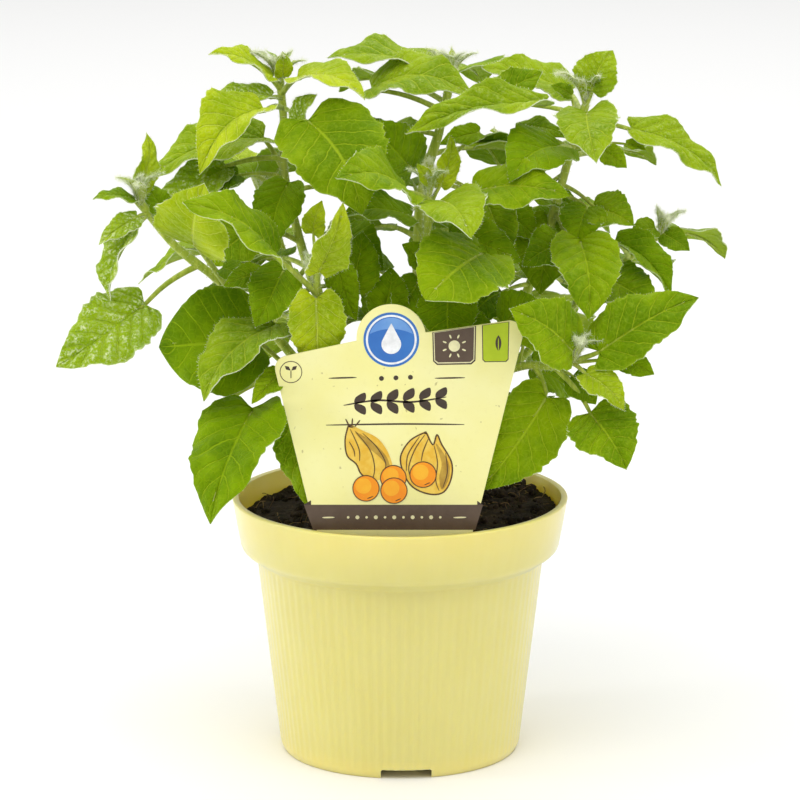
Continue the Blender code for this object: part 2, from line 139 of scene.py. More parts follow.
SHOOTS: tuple[ShootPlan, ...] = (
    ShootPlan("stem_left", ((-13, -6), (-15, -8, 108), (-30, -10, 135), (-48, -10, 158), (-63, -12, 173),
        (-79, -16, 187), (-90, -23, 203)), 2.1, 1.3, (
        leaf("leaf_far_left", 0.8, (-89, -24, 167), (-119, -40, 149), 27, (-0.2, -0.85, 0.5), S, lobe=0.12,
             quilt=0.03, teeth=0.07, ruffle=0.05),
        leaf("leaf_left_hanging", 0.97, (-92, -27, 194), (-101, -34, 171), 17, (-0.75, -0.6, 0.2), S,
             fold=30),
        leaf("leaf_left_lit", 0.72, (-71, -30, 190), (-67, -48, 214), 31, (-0.25, -0.9, 0.35), Y, fold=12,
             droop=0.12),
        leaf("leaf_left_round", 0.38, (-50, -22, 154), (-84, -26, 153), 42, (-0.1, -0.8, 0.6), D, quilt=0.012,
             lobe=0.18, point=0.8, teeth=0.02),
        leaf("", 0.97, (-91, -20, 206), (-88, -12, 226), 9, (0.5, -0.8, 0.2), Y),
        leaf("", 0.98, (-92, -24, 204), (-106, -30, 206), 10, UP, F),
        leaf("", 0.97, (-91, -27, 199), (-104, -34, 191), 9, FRONT, S),
        leaf("", 0.9, (-82, -20, 197), (-90, -14, 209), 10, (0.3, -0.8, 0.4), D),
        leaf("", 0.6, (-62, -22, 180), (-52, -28, 176), 9, FRONT, D),
    )),
    ShootPlan("stem_tall_left", ((-15, 7), (-17, 8, 108), (-26, 10, 150), (-36, 10, 185), (-41, 8, 209),
        (-41, 4, 228), (-42, 3, 241)), 2.1, 1.2, (
        leaf("leaf_top_left", 0.99, (-45, -1, 243), (-66, -12, 254), 15, UP, Y),
        leaf("leaf_tall_left_hanging", 0.95, (-47, -14, 234), (-69, -34, 216), 27, (-0.4, -0.7, 0.6), Y,
             fold=34, droop=0.18, quilt=0.022),
        leaf("leaf_tall_left_side", 0.82, (-48, 10, 220), (-88, -4, 209), 25, UP, W),
        leaf("leaf_top_left_inner", 0.98, (-36, -6, 244), (-12, -20, 240), 22, UP, Y, droop=0.16),
        leaf("leaf_centre_large", 0.9, (-32, -18, 231), (-13, -37, 202), 38, (0.1, -0.8, 0.6), F, lobe=0.16),
        leaf("", 0.97, (-45, -4, 237), (-67, -10, 237), 11, UP, S),
        leaf("", 0.99, (-41, 0, 244), (-41, -2, 253), 7, (0.2, -0.9, 0.3), Y),
        leaf("", 0.8, (-57, 4, 208), (-71, -4, 203), 11, FRONT, D),
        leaf("", 0.72, (-39, -10, 208), (-45, -22, 187), 18, FRONT, D),
        leaf("", 0.84, (-62, 4, 211), (-88, -6, 197), 16, FRONT, S),
        leaf("", 0.95, (-36, -10, 229), (-29, -16, 240), 9, FRONT, S),
        leaf("", 0.75, (-52, 18, 206), (-78, 22, 196), 24, (-0.1, -0.2, 0.95), D),
        leaf("", 0.6, (-24, -4, 186), (-6, -14, 178), 22, FRONT, D),
        leaf("", 0.66, (-50, 0, 190), (-68, -6, 178), 20, FRONT, F),
    ), rear_leaves=4),
    ShootPlan("stem_front_left", ((-10, -21), (-12, -22, 106), (-17, -27, 130), (-24, -33, 155),
        (-29, -37, 178)), 1.9, 1.3, (
        leaf("leaf_front_left_raised", 0.96, (-43, -42, 188), (-73, -64, 211), 25, (0.3, -0.45, 0.85), F,
             ruffle=0.05),
        leaf("leaf_front_upright", 0.99, (-28, -42, 183), (-19, -54, 208), 16, (0.4, -0.9, 0.2), Y, fold=24),
        leaf("leaf_front_heart", 0.93, (-29, -41, 173), (-29, -42, 147), 20, (0, -1, 0.2), Y, fold=4,
             lobe=0.22, droop=0.02, cup=0.0),
        leaf("leaf_front_left_inner", 0.85, (-40, -30, 181), (-50, -40, 163), 19, (-0.3, -0.9, 0.4), D),
        leaf("leaf_front_left_side", 0.62, (-43, -30, 161), (-68, -54, 141), 27, (-0.4, -0.6, 0.7), W,
             quilt=0.024, teeth=0.07),
        leaf("leaf_low_left", 0.52, (-51, -39, 133), (-65, -79, 104), 32, (-0.3, -0.9, 0.45), D, lobe=0.16,
             teeth=0.05, quilt=0.02),
        leaf("leaf_low_left_inner", 0.34, (-37, -36, 132), (-27, -42, 94), 20, (-0.2, -1, 0.1), F, fold=6,
             droop=0.02, cup=0.0),
        leaf("", 0.8, (-22, -24, 183), (-15, -30, 163), 12, FRONT, D),
        leaf("", 0.9, (-17, -20, 172), (-13, -14, 191), 17, (0.2, -0.9, 0.3), D),
        leaf("", 0.6, (-41, -38, 146), (-51, -50, 138), 10, FRONT, F),
        leaf("", 0.85, (-47, -30, 179), (-61, -34, 176), 10, FRONT, F),
        leaf("", 0.98, (-30, -32, 194), (-27, -36, 206), 9, FRONT, Y),
        leaf("", 0.55, (-30, -36, 150), (-40, -42, 134), 16, (0, -1, 0.3), D),
    ), tuft=7, tuft_size=8.0),
    ShootPlan("stem_centre", ((3, -9), (3, -10, 108), (6, -13, 140), (9, -16, 175),
        (10, -19, 205)), 1.9, 1.3, (
        leaf("leaf_centre_pale", 0.97, (14, -26, 204), (24, -58, 199), 26, FRONT, W),
        leaf("leaf_centre_left", 0.99, (2, -29, 208), (-21, -62, 219), 24, (0.2, -0.6, 0.8), F),
        leaf("leaf_centre_dark", 0.88, (4, -12, 196), (-20, -18, 198), 20, UP, D, ruffle=0.06),
        leaf("leaf_centre_round", 0.8, (29, -32, 187), (9, -60, 177), 34, FRONT, F, lobe=0.2, point=0.75,
             quilt=0.02, fold=8),
        leaf("leaf_centre_low", 0.62, (17, -22, 171), (17, -30, 153), 22, (0, -1, 0.3), D),
        leaf("leaf_centre_right", 0.93, (26, -24, 207), (58, -38, 209), 22, (0, -0.6, 0.8), F),
        leaf("", 0.97, (14, -17, 208), (18, -14, 225), 9, (0.3, -0.9, 0.2), Y),
        leaf("", 0.98, (10, -20, 210), (6, -24, 217), 6, FRONT, Y),
        leaf("", 0.72, (7, -14, 174), (-1, -22, 159), 14, FRONT, D),
        leaf("", 0.78, (7, -16, 181), (1, -20, 188), 11, FRONT, D),
        leaf("", 0.7, (-6, -18, 163), (-3, -16, 179), 15, FRONT, D),
        leaf("", 0.86, (17, -14, 190), (42, -24, 183), 20, FRONT, D),
        leaf("", 0.6, (20, -22, 160), (33, -30, 150), 18, FRONT, D),
    ), tuft=7, tuft_size=9.0),
    ShootPlan("stem_back_centre", ((5, 9), (5, 10, 110), (6, 10, 151), (7, 13, 196), (14, 17, 222),
        (18, 20, 240)), 2.3, 1.3, (
        leaf("leaf_top_centre_back", 0.99, (15, 23, 244), (-25, 9, 251), 28, (0, -0.2, 1), W, droop=0.02),
        leaf("leaf_top_centre", 0.93, (-10, 8, 238), (26, -6, 238), 25, (0, -0.45, 0.9), W, droop=0.16),
        leaf("leaf_upper_centre", 0.82, (4, 3, 210), (-11, -6, 229), 24, (0.3, -0.8, 0.5), D),
        leaf("leaf_top_right_inner", 0.95, (32, 5, 235), (50, 4, 245), 15, (0, -0.6, 0.8), F),
        leaf("leaf_rear_top", 0.98, (20, 32, 240), (30, 66, 232), 28, (0, 0.4, 0.9), F),
        leaf("", 0.76, (28, 0, 224), (14, -6, 221), 9, FRONT, D),
        leaf("", 0.78, (31, -6, 199), (36, -16, 180), 16, FRONT, F),
        leaf("", 0.8, (34, 2, 196), (48, -4, 187), 16, FRONT, D),
        leaf("", 0.84, (26, 26, 214), (48, 38, 206), 26, (0.2, 0.2, 0.95), F),
        leaf("", 0.8, (-8, 28, 212), (-32, 40, 206), 28, (-0.1, 0.3, 0.95), D),
        leaf("", 0.95, (0, 34, 236), (-22, 50, 232), 24, (-0.1, 0.4, 0.9), F),
        leaf("", 0.66, (-6, 26, 186), (-28, 36, 172), 30, (-0.1, 0.5, 0.85), D),
        leaf("", 0.64, (22, 26, 182), (44, 34, 170), 30, (0.1, 0.5, 0.85), F),
        leaf("", 0.5, (4, 28, 156), (-10, 50, 140), 30, (0, 0.7, 0.7), D),
        leaf("", 0.88, (-4, 6, 222), (-24, 2, 214), 18, FRONT, D),
    ), rear_leaves=7),
    ShootPlan("stem_right", ((15, 3), (16, 3, 106), (26, 4, 128), (40, 3, 155), (50, 2, 180), (57, 0, 206),
        (62, -4, 226), (65, -6, 235)), 2.1, 1.3, (
        leaf("leaf_right_top", 0.98, (67, -9, 240), (74, -6, 254), 17, (-0.3, -0.9, 0.3), W),
        leaf("leaf_right_heart", 0.93, (65, -14, 233), (67, -46, 222), 23, FRONT, W, lobe=0.2),
        leaf("leaf_right_tip", 0.96, (81, -6, 226), (114, 4, 205), 19, (0.4, -0.4, 0.8), W, teeth=0.06,
             quilt=0.022),
        leaf("leaf_right_long", 0.97, (50, -11, 235), (2, -23, 228), 19, UP, W, fold=30, quilt=0.02),
        leaf("leaf_right_inner", 0.9, (56, -12, 221), (38, -34, 214), 25, FRONT, D),
        leaf("leaf_right_back_top", 0.97, (60, 21, 235), (29, 22, 244), 21, UP, W),
        leaf("leaf_right_quilted", 0.7, (63, -16, 188), (65, -44, 167), 25, (0, -0.8, 0.6), F, quilt=0.034,
             lobe=0.18),
        leaf("", 0.9, (41, -4, 226), (58, -8, 224), 10, UP, F),
        leaf("", 0.82, (68, -2, 198), (82, -10, 193), 18, FRONT, F),
        leaf("", 0.8, (66, -4, 198), (62, -14, 187), 17, FRONT, D),
        leaf("", 0.76, (59, -10, 186), (43, -22, 181), 17, FRONT, D),
        leaf("", 0.78, (57, 8, 191), (45, 14, 193), 12, UP, D),
        leaf("", 0.95, (60, 0, 237), (53, -2, 241), 6, FRONT, F),
        leaf("", 0.95, (71, -10, 219), (79, -14, 214), 9, FRONT, F),
        leaf("", 0.9, (79, -6, 221), (86, -8, 219), 5, FRONT, F),
        leaf("", 0.84, (48, 6, 200), (64, 4, 196), 13, UP, D),
        leaf("", 0.88, (70, 14, 214), (92, 30, 208), 26, (0.3, 0.2, 0.95), F),
        leaf("", 0.6, (36, -6, 168), (24, -16, 160), 20, FRONT, D),
        leaf("", 0.66, (55, 2, 192), (49, -8, 168), 25, FRONT, F, lobe=0.16),
        leaf("", 0.64, (58, 12, 168), (78, 24, 156), 26, (0.3, 0.3, 0.9), D),
    )),
    ShootPlan("stem_front_right", ((11, -20), (12, -21, 106), (20, -24, 125), (31, -28, 141), (43, -31, 147),
        (53, -36, 148), (60, -39, 151)), 1.9, 1.3, (
        leaf("leaf_front_right_raised", 0.985, (59, -44, 155), (38, -54, 172), 25, (0, -0.8, 0.6), F,
             quilt=0.024),
        leaf("leaf_front_right", 0.97, (69, -41, 154), (103, -38, 173), 24, (0.1, -0.75, 0.65), F, lobe=0.18,
             quilt=0.026, teeth=0.06),
        leaf("leaf_low_right", 0.93, (66, -40, 132), (78, -56, 116), 25, (0, -0.9, 0.4), F, quilt=0.034,
             teeth=0.07),
        leaf("leaf_low_centre_right", 0.86, (51, -36, 137), (28, -42, 105), 27, (0.2, -0.95, 0.3), F, fold=5,
             droop=0.03, cup=0.02, lobe=0.16),
        leaf("", 0.99, (64, -44, 147), (77, -54, 137), 13, FRONT, Y),
        leaf("", 0.97, (76, -38, 151), (88, -40, 146), 10, FRONT, D),
        leaf("", 0.93, (60, -34, 144), (68, -38, 135), 13, FRONT, D),
        leaf("", 0.8, (43, -30, 159), (49, -32, 152), 9, FRONT, F),
        leaf("", 0.7, (36, -24, 160), (50, -28, 168), 20, FRONT, D),
        leaf("", 0.74, (46, -18, 144), (62, -14, 132), 24, (0.3, -0.5, 0.8), D),
    ), tuft=8, tuft_size=11.0),
    ShootPlan("stem_far_right", ((17, 14), (19, 15, 106), (36, 19, 130), (61, 21, 156), (80, 18, 174),
        (93, 16, 185)), 1.9, 1.2, (
        leaf("leaf_far_right_folded", 0.9, (76, 6, 184), (96, -6, 166), 18, (0.5, -0.6, 0.6), D, fold=34),
        leaf("leaf_far_right_low", 0.7, (72, 4, 171), (91, -10, 163), 21, (0.2, -0.7, 0.7), F),
        leaf("leaf_far_right_rear", 0.98, (97, 24, 184), (118, 38, 172), 26, (0.3, 0.3, 0.9), F),
        leaf("", 0.98, (94, 15, 185), (103, 10, 180), 10, FRONT, F),
        leaf("", 0.97, (91, 14, 187), (82, 9, 186), 10, FRONT, F),
        leaf("", 0.8, (80, 30, 172), (96, 50, 162), 28, (0.3, 0.4, 0.85), D),
        leaf("", 0.6, (54, 32, 150), (64, 54, 138), 30, (0.2, 0.6, 0.75), F),
    ), tuft=5, tuft_size=7.0, rear_leaves=3),
    ShootPlan("stem_rear_left", ((-9, 21), (-10, 22, 106), (-22, 34, 130), (-38, 48, 160),
        (-50, 56, 192)), 1.9, 1.2, (
        leaf("leaf_rear_left_top", 0.98, (-54, 60, 198), (-72, 78, 208), 26, (-0.3, 0.5, 0.8), Y),
        leaf("leaf_rear_left_side", 0.8, (-60, 48, 172), (-96, 52, 160), 36, (-0.3, 0.2, 0.9), F, lobe=0.16),
        leaf("leaf_rear_left_low", 0.55, (-44, 62, 146), (-54, 78, 122), 34, (-0.3, 0.8, 0.5), F, lobe=0.16),
        leaf("", 0.95, (-46, 48, 200), (-30, 34, 214), 24, (0.1, 0.1, 0.98), F),
        leaf("", 0.9, (-60, 44, 190), (-86, 34, 184), 28, (-0.2, 0.0, 0.98), D),
        leaf("", 0.7, (-50, 36, 162), (-76, 26, 150), 32, (-0.3, -0.1, 0.95), D),
        leaf("", 0.75, (-28, 56, 170), (-12, 70, 160), 28, (0.1, 0.7, 0.7), F),
        leaf("", 0.4, (-40, 34, 128), (-64, 40, 116), 30, (-0.4, 0.2, 0.85), F),
    ), rear_leaves=7),
    ShootPlan("stem_rear_right", ((9, 23), (10, 24, 106), (20, 38, 130), (34, 50, 160),
        (44, 56, 196)), 1.9, 1.2, (
        leaf("leaf_rear_right_top", 0.98, (52, 58, 200), (78, 66, 208), 28, (0.3, 0.4, 0.9), F),
        leaf("leaf_rear_right_low", 0.6, (44, 62, 150), (62, 77, 128), 34, (0.3, 0.8, 0.5), F, lobe=0.16),
        leaf("leaf_rear_centre", 0.85, (24, 64, 178), (6, 79, 160), 33, (0, 0.8, 0.6), D, lobe=0.16),
        leaf("", 0.94, (36, 48, 204), (24, 30, 218), 24, (-0.1, 0.1, 0.98), D),
        leaf("", 0.9, (54, 44, 190), (76, 36, 182), 28, (0.2, 0.1, 0.97), F),
        leaf("", 0.45, (30, 56, 132), (28, 76, 114), 28, (0.1, 0.8, 0.55), F),
        leaf("", 0.97, (42, 66, 200), (34, 80, 212), 20, (0.0, 0.6, 0.8), Y),
    ), rear_leaves=7),
)


# ---------------------------------------------------------------- finishes


@dataclass(frozen=True)
class LeafFinish:
    """The colours of a leaf of one tone."""

    name: str
    low: Colour
    high: Colour
    vein: Colour
    # Pale down mixed with painted sheen on the bulges between the veins, and how much of it is laid on.
    sheen_and_down: Colour
    sheen_and_down_share: float
    under: Colour
    margin: Colour


# The fourth colour and the share after it are pale down with painted sheen on the bulges between the veins.
LEAF_FINISHES: dict[Tone, LeafFinish] = {
    Tone.YOUNG: LeafFinish(
        "young_leaf", (0.25, 0.36, 0.002, 1), (0.43, 0.52, 0.006, 1), (0.56, 0.66, 0.08, 1),
        (0.60, 0.69, 0.14, 1), 0.28, (0.44, 0.54, 0.05, 1), (0.70, 0.77, 0.42, 1)),
    Tone.FRESH: LeafFinish(
        "fresh_leaf", (0.118, 0.225, 0.001, 1), (0.238, 0.355, 0.001, 1), (0.38, 0.50, 0.02, 1),
        (0.42, 0.53, 0.05, 1), 0.20, (0.32, 0.44, 0.03, 1), (0.60, 0.69, 0.36, 1)),
    Tone.DEEP: LeafFinish(
        "deep_leaf", (0.100, 0.198, 0.001, 1), (0.205, 0.330, 0.001, 1), (0.31, 0.44, 0.01, 1),
        (0.27, 0.39, 0.02, 1), 0.12, (0.24, 0.36, 0.02, 1), (0.46, 0.57, 0.24, 1)),
    Tone.SILVER: LeafFinish(
        "silver_leaf", (0.20, 0.32, 0.004, 1), (0.30, 0.42, 0.012, 1), (0.36, 0.50, 0.02, 1),
        (0.66, 0.73, 0.42, 1), 0.75, (0.47, 0.56, 0.18, 1), (0.76, 0.81, 0.60, 1)),
    Tone.DOWNY: LeafFinish(
        "downy_leaf", (0.155, 0.262, 0.002, 1), (0.28, 0.395, 0.003, 1), (0.43, 0.54, 0.04, 1),
        (0.52, 0.61, 0.18, 1), 0.34, (0.44, 0.53, 0.14, 1), (0.74, 0.80, 0.56, 1)),
}


@dataclass(frozen=True)
class Ink:
    """A printed colour, the shade that it is mottled towards, and the mottling's repeats per metre."""

    colour: Colour
    shade: Colour | None = None
    scale: float = 260.0


INKS: dict[str, Ink] = {
    "brown": Ink((0.100, 0.065, 0.042, 1), (0.115, 0.076, 0.050, 1)),
    "dark": Ink((0.060, 0.040, 0.026, 1)),
    "cream": Ink((0.91, 0.86, 0.50, 1)),
    "green": Ink((0.42, 0.55, 0.006, 1), (0.46, 0.59, 0.010, 1)),
    "white": Ink((0.95, 0.96, 0.97, 1)),
    "blue": Ink((0.030, 0.150, 0.500, 1), (0.040, 0.190, 0.560, 1), 60.0),
    "sky": Ink((0.20, 0.40, 0.76, 1), (0.12, 0.30, 0.68, 1), 90.0),
    "pen": Ink((0.10, 0.050, 0.016, 1)),
    "husk": Ink((0.80, 0.46, 0.030, 1), (0.88, 0.62, 0.100, 1), 230.0),
    "husk_shade": Ink((0.42, 0.24, 0.024, 1), (0.55, 0.35, 0.045, 1), 230.0),
    "orange": Ink((0.92, 0.33, 0.004, 1), (0.90, 0.27, 0.004, 1), 160.0),
    "amber": Ink((0.95, 0.48, 0.020, 1), (0.93, 0.40, 0.012, 1), 160.0),
}


def dulled(colour: Colour) -> Colour:
    """A slightly darker shade of a colour."""
    return tuple(0.82 * part for part in colour[:3]) + (1.0,)


class Wiring:
    """Short ways to place and link shader nodes in one tree."""

    def __init__(self, tree: bpy.types.NodeTree) -> None:
        """Keep the tree that gets the nodes."""
        self.tree = tree

    def feed(self, socket: Socket, value: object) -> None:
        """Link or set an input.

        Args:
            socket: The input.
            value: An output socket to link, or a plain value to set.
        """
        if isinstance(value, Socket):
            self.tree.links.new(value, socket)
        else:
            socket.default_value = value

    def math(self, operation: str, first: object, second: object = 0.0, clamp: bool = False) -> Socket:
        """A Math node.

        Args:
            operation: The node's operation.
            first: First input.
            second: Second input.
            clamp: Whether the result is clamped to 0..1.

        Returns:
            Its output.
        """
        node = self.tree.nodes.new("ShaderNodeMath")
        node.operation = operation
        node.use_clamp = clamp
        self.feed(node.inputs[0], first)
        self.feed(node.inputs[1], second)
        return node.outputs[0]

    def times(self, first: object, second: object, clamp: bool = False) -> Socket:
        """The product of two values."""
        return self.math("MULTIPLY", first, second, clamp)

    def plus(self, first: object, second: object) -> Socket:
        """The sum of two values."""
        return self.math("ADD", first, second)

    def minus(self, first: object, second: object) -> Socket:
        """The difference of two values."""
        return self.math("SUBTRACT", first, second)

    def band(self, value: object, start: float, end: float, low: float = 0.0, high: float = 1.0) -> Socket:
        """A smooth step of a value.

        Args:
            value: The value.
            start: Where the step starts.
            end: Where it ends.
            low: The result at start.
            high: The result at end.

        Returns:
            The stepped value.
        """
        node = self.tree.nodes.new("ShaderNodeMapRange")
        node.interpolation_type = "SMOOTHSTEP"
        self.feed(node.inputs["Value"], value)
        for name, number in (("From Min", start), ("From Max", end), ("To Min", low), ("To Max", high)):
            node.inputs[name].default_value = number
        return node.outputs["Result"]

    def mix(self, share: object, first: object, second: object, blend: str = "MIX") -> Socket:
        """A colour mix.

        Args:
            share: How much of the second colour.
            first: First colour.
            second: Second colour.
            blend: The blend type.

        Returns:
            The mixed colour.
        """
        node = self.tree.nodes.new("ShaderNodeMix")
        node.data_type = "RGBA"
        node.blend_type = blend
        self.feed(node.inputs[0], share)
        self.feed(node.inputs[6], first)
        self.feed(node.inputs[7], second)
        return node.outputs[2]

    def noise(self, place: object, scale: float, detail: float = 3.0, roughness: float = 0.55) -> Socket:
        """A noise texture's value.

        Args:
            place: The coordinates.
            scale: Repeats per metre.
            detail: Octaves.
            roughness: How strong the fine octaves are.

        Returns:
            Its Fac output.
        """
        node = self.tree.nodes.new("ShaderNodeTexNoise")
        self.feed(node.inputs["Vector"], place)
        node.inputs["Scale"].default_value = scale
        node.inputs["Detail"].default_value = detail
        node.inputs["Roughness"].default_value = roughness
        return node.outputs["Fac"]

    def object_place(self) -> Socket:
        """The Object coordinates."""
        return self.tree.nodes.new("ShaderNodeTexCoord").outputs["Object"]

    def stretched(self, place: object, scale: Point) -> Socket:
        """Coordinates scaled along each axis.

        Args:
            place: The coordinates.
            scale: The three factors.

        Returns:
            The scaled coordinates.
        """
        node = self.tree.nodes.new("ShaderNodeMapping")
        self.feed(node.inputs["Vector"], place)
        node.inputs["Scale"].default_value = scale
        return node.outputs["Vector"]

    def bump(self, height: object, distance: float, strength: float = 1.0) -> Socket:
        """A bump from a height.

        Args:
            height: The height, 0..1.
            distance: What a height of 1 measures, in metres.
            strength: The bump's strength.

        Returns:
            The bent normal.
        """
        node = self.tree.nodes.new("ShaderNodeBump")
        node.inputs["Strength"].default_value = strength
        node.inputs["Distance"].default_value = distance
        self.feed(node.inputs["Height"], height)
        return node.outputs["Normal"]


def tune(shader: bpy.types.Node, settings: dict[str, object]) -> None:
    """Set a shader's own sockets by name."""
    for name, value in settings.items():
        shader.inputs[name].default_value = value


def fresh_material(name: str, roughness: float,
                   specular: float = 0.4) -> tuple[Material, Wiring, bpy.types.Node]:
    """An empty Principled material.

    Args:
        name: The material's name.
        roughness: Its roughness.
        specular: Its specular level.

    Returns:
        The material, its wiring and its shader.
    """
    made = bpy.data.materials.new(name)
    made.use_nodes = True
    shader = made.node_tree.nodes["Principled BSDF"]
    tune(shader, {"Roughness": roughness, "Specular IOR Level": specular})
    return made, Wiring(made.node_tree), shader


class LeafSurfaceGroup:
    """A shader node group: the veins, net, mottling and painted sheen of a leaf from its own UV map."""

    NAME = "leaf_surface"

    @classmethod
    def get(cls) -> bpy.types.NodeTree:
        """The group, built on first use."""
        found = bpy.data.node_groups.get(cls.NAME)
        return found if found is not None else cls._build()

    @classmethod
    def _build(cls) -> bpy.types.NodeTree:
        """Build the group's nodes.

        Returns:
            The new node group.
        """
        tree = bpy.data.node_groups.new(cls.NAME, "ShaderNodeTree")
        for name in ("Low", "High", "Vein", "Sheen And Down", "Sheen And Down Share"):
            kind = "NodeSocketFloat" if name == "Sheen And Down Share" else "NodeSocketColor"
            tree.interface.new_socket(name, in_out="INPUT", socket_type=kind)
        for name, kind in (("Color", "NodeSocketColor"), ("Height", "NodeSocketFloat")):
            tree.interface.new_socket(name, in_out="OUTPUT", socket_type=kind)
        wire = Wiring(tree)
        given = tree.nodes.new("NodeGroupInput")
        out = tree.nodes.new("NodeGroupOutput")
        flat = tree.nodes.new("ShaderNodeUVMap")
        split = tree.nodes.new("ShaderNodeSeparateXYZ")
        wire.feed(split.inputs[0], flat.outputs["UV"])
        place = wire.object_place()
        wobble = wire.times(wire.minus(wire.noise(place, 120.0, 2.0), 0.5), 0.06)
        across = wire.math("ABSOLUTE", wire.minus(wire.times(split.outputs[0], 2.0), 1.0))
        along = wire.plus(split.outputs[1], wobble)
        lean = wire.times(wire.minus(1.0, wire.times(along, VEIN_TAPER)), VEIN_LEAN)
        phase = wire.times(wire.minus(along, wire.times(lean, across)), SIDE_VEINS)
        fraction = wire.math("FRACT", wire.plus(phase, 100.5))
        from_vein = wire.math("ABSOLUTE", wire.minus(fraction, 0.5))
        side = wire.times(wire.band(from_vein, 0.018, 0.07, 1.0, 0.0),
                          wire.band(across, 0.70, 1.0, 1.0, 0.15))
        midrib = wire.band(across, 0.016, 0.055, 1.0, 0.0)
        veins = wire.math("MAXIMUM", midrib, side)
        cells = tree.nodes.new("ShaderNodeTexVoronoi")
        cells.feature = "DISTANCE_TO_EDGE"
        cells.inputs["Scale"].default_value = 420.0
        wire.feed(cells.inputs["Vector"], place)
        net = wire.band(cells.outputs["Distance"], 0.02, 0.14, 1.0, 0.0)
        broad = wire.band(wire.noise(place, 55.0, 3.0), 0.32, 0.68)
        base = wire.mix(broad, given.outputs["Low"], given.outputs["High"])
        # Pale specks of down everywhere, and painted sheen: pale patches on the bulges between the veins.
        speck = wire.band(wire.noise(place, 900.0, 2.0, 0.7), 0.42, 0.66)
        between = wire.band(from_vein, 0.10, 0.34)
        patch = wire.band(wire.noise(place, 210.0, 3.0, 0.6), 0.40, 0.62)
        sheen_and_down = wire.plus(wire.times(wire.times(patch, between), speck), wire.times(speck, 0.25))
        sheen_and_down = wire.times(sheen_and_down, given.outputs["Sheen And Down Share"], True)
        coloured = wire.mix(sheen_and_down, base, given.outputs["Sheen And Down"])
        coloured = wire.mix(wire.times(net, 0.16), coloured, given.outputs["Vein"])
        coloured = wire.mix(wire.times(veins, 0.72), coloured, given.outputs["Vein"])
        edge = wire.times(wire.band(across, 0.93, 1.0), 0.35)
        coloured = wire.mix(edge, coloured, given.outputs["Sheen And Down"])
        wire.feed(out.inputs["Color"], coloured)
        dips = wire.plus(wire.times(veins, 0.6), wire.times(net, 0.22))
        grain = wire.times(wire.noise(place, 1500.0, 2.0), 0.12)
        wire.feed(out.inputs["Height"], wire.plus(wire.minus(1.0, dips), grain))
        return tree


def dress_leaf_side(name: str, finish: LeafFinish, under: bool) -> Material:
    """One side of a leaf.

    Args:
        name: The material's name.
        finish: The leaf's colours.
        under: Whether it is the underside, which is paler, with raised veins.

    Returns:
        The material.
    """
    made, wire, shader = fresh_material(name, 0.62 if under else 0.55, 0.16)
    surface = made.node_tree.nodes.new("ShaderNodeGroup")
    surface.node_tree = LeafSurfaceGroup.get()
    low, high = (finish.under, finish.under) if under else (finish.low, finish.high)
    tune(surface, {"Low": low, "High": high, "Vein": finish.vein, "Sheen And Down": finish.sheen_and_down,
                   "Sheen And Down Share": finish.sheen_and_down_share})
    wire.feed(shader.inputs["Base Color"], surface.outputs["Color"])
    height = wire.minus(1.0, surface.outputs["Height"]) if under else surface.outputs["Height"]
    wire.feed(shader.inputs["Normal"], wire.bump(height, 0.5 * MM, 0.9))
    tune(shader, {"Specular Tint": (0.85, 1.0, 0.18, 1), "Subsurface Weight": 0.35,
                  "Subsurface Radius": (0.8, 1.0, 0.1), "Subsurface Scale": 0.9 * MM,
                  "Sheen Weight": 0.07, "Sheen Roughness": 0.35, "Sheen Tint": (0.88, 1.0, 0.22, 1)})
    return made


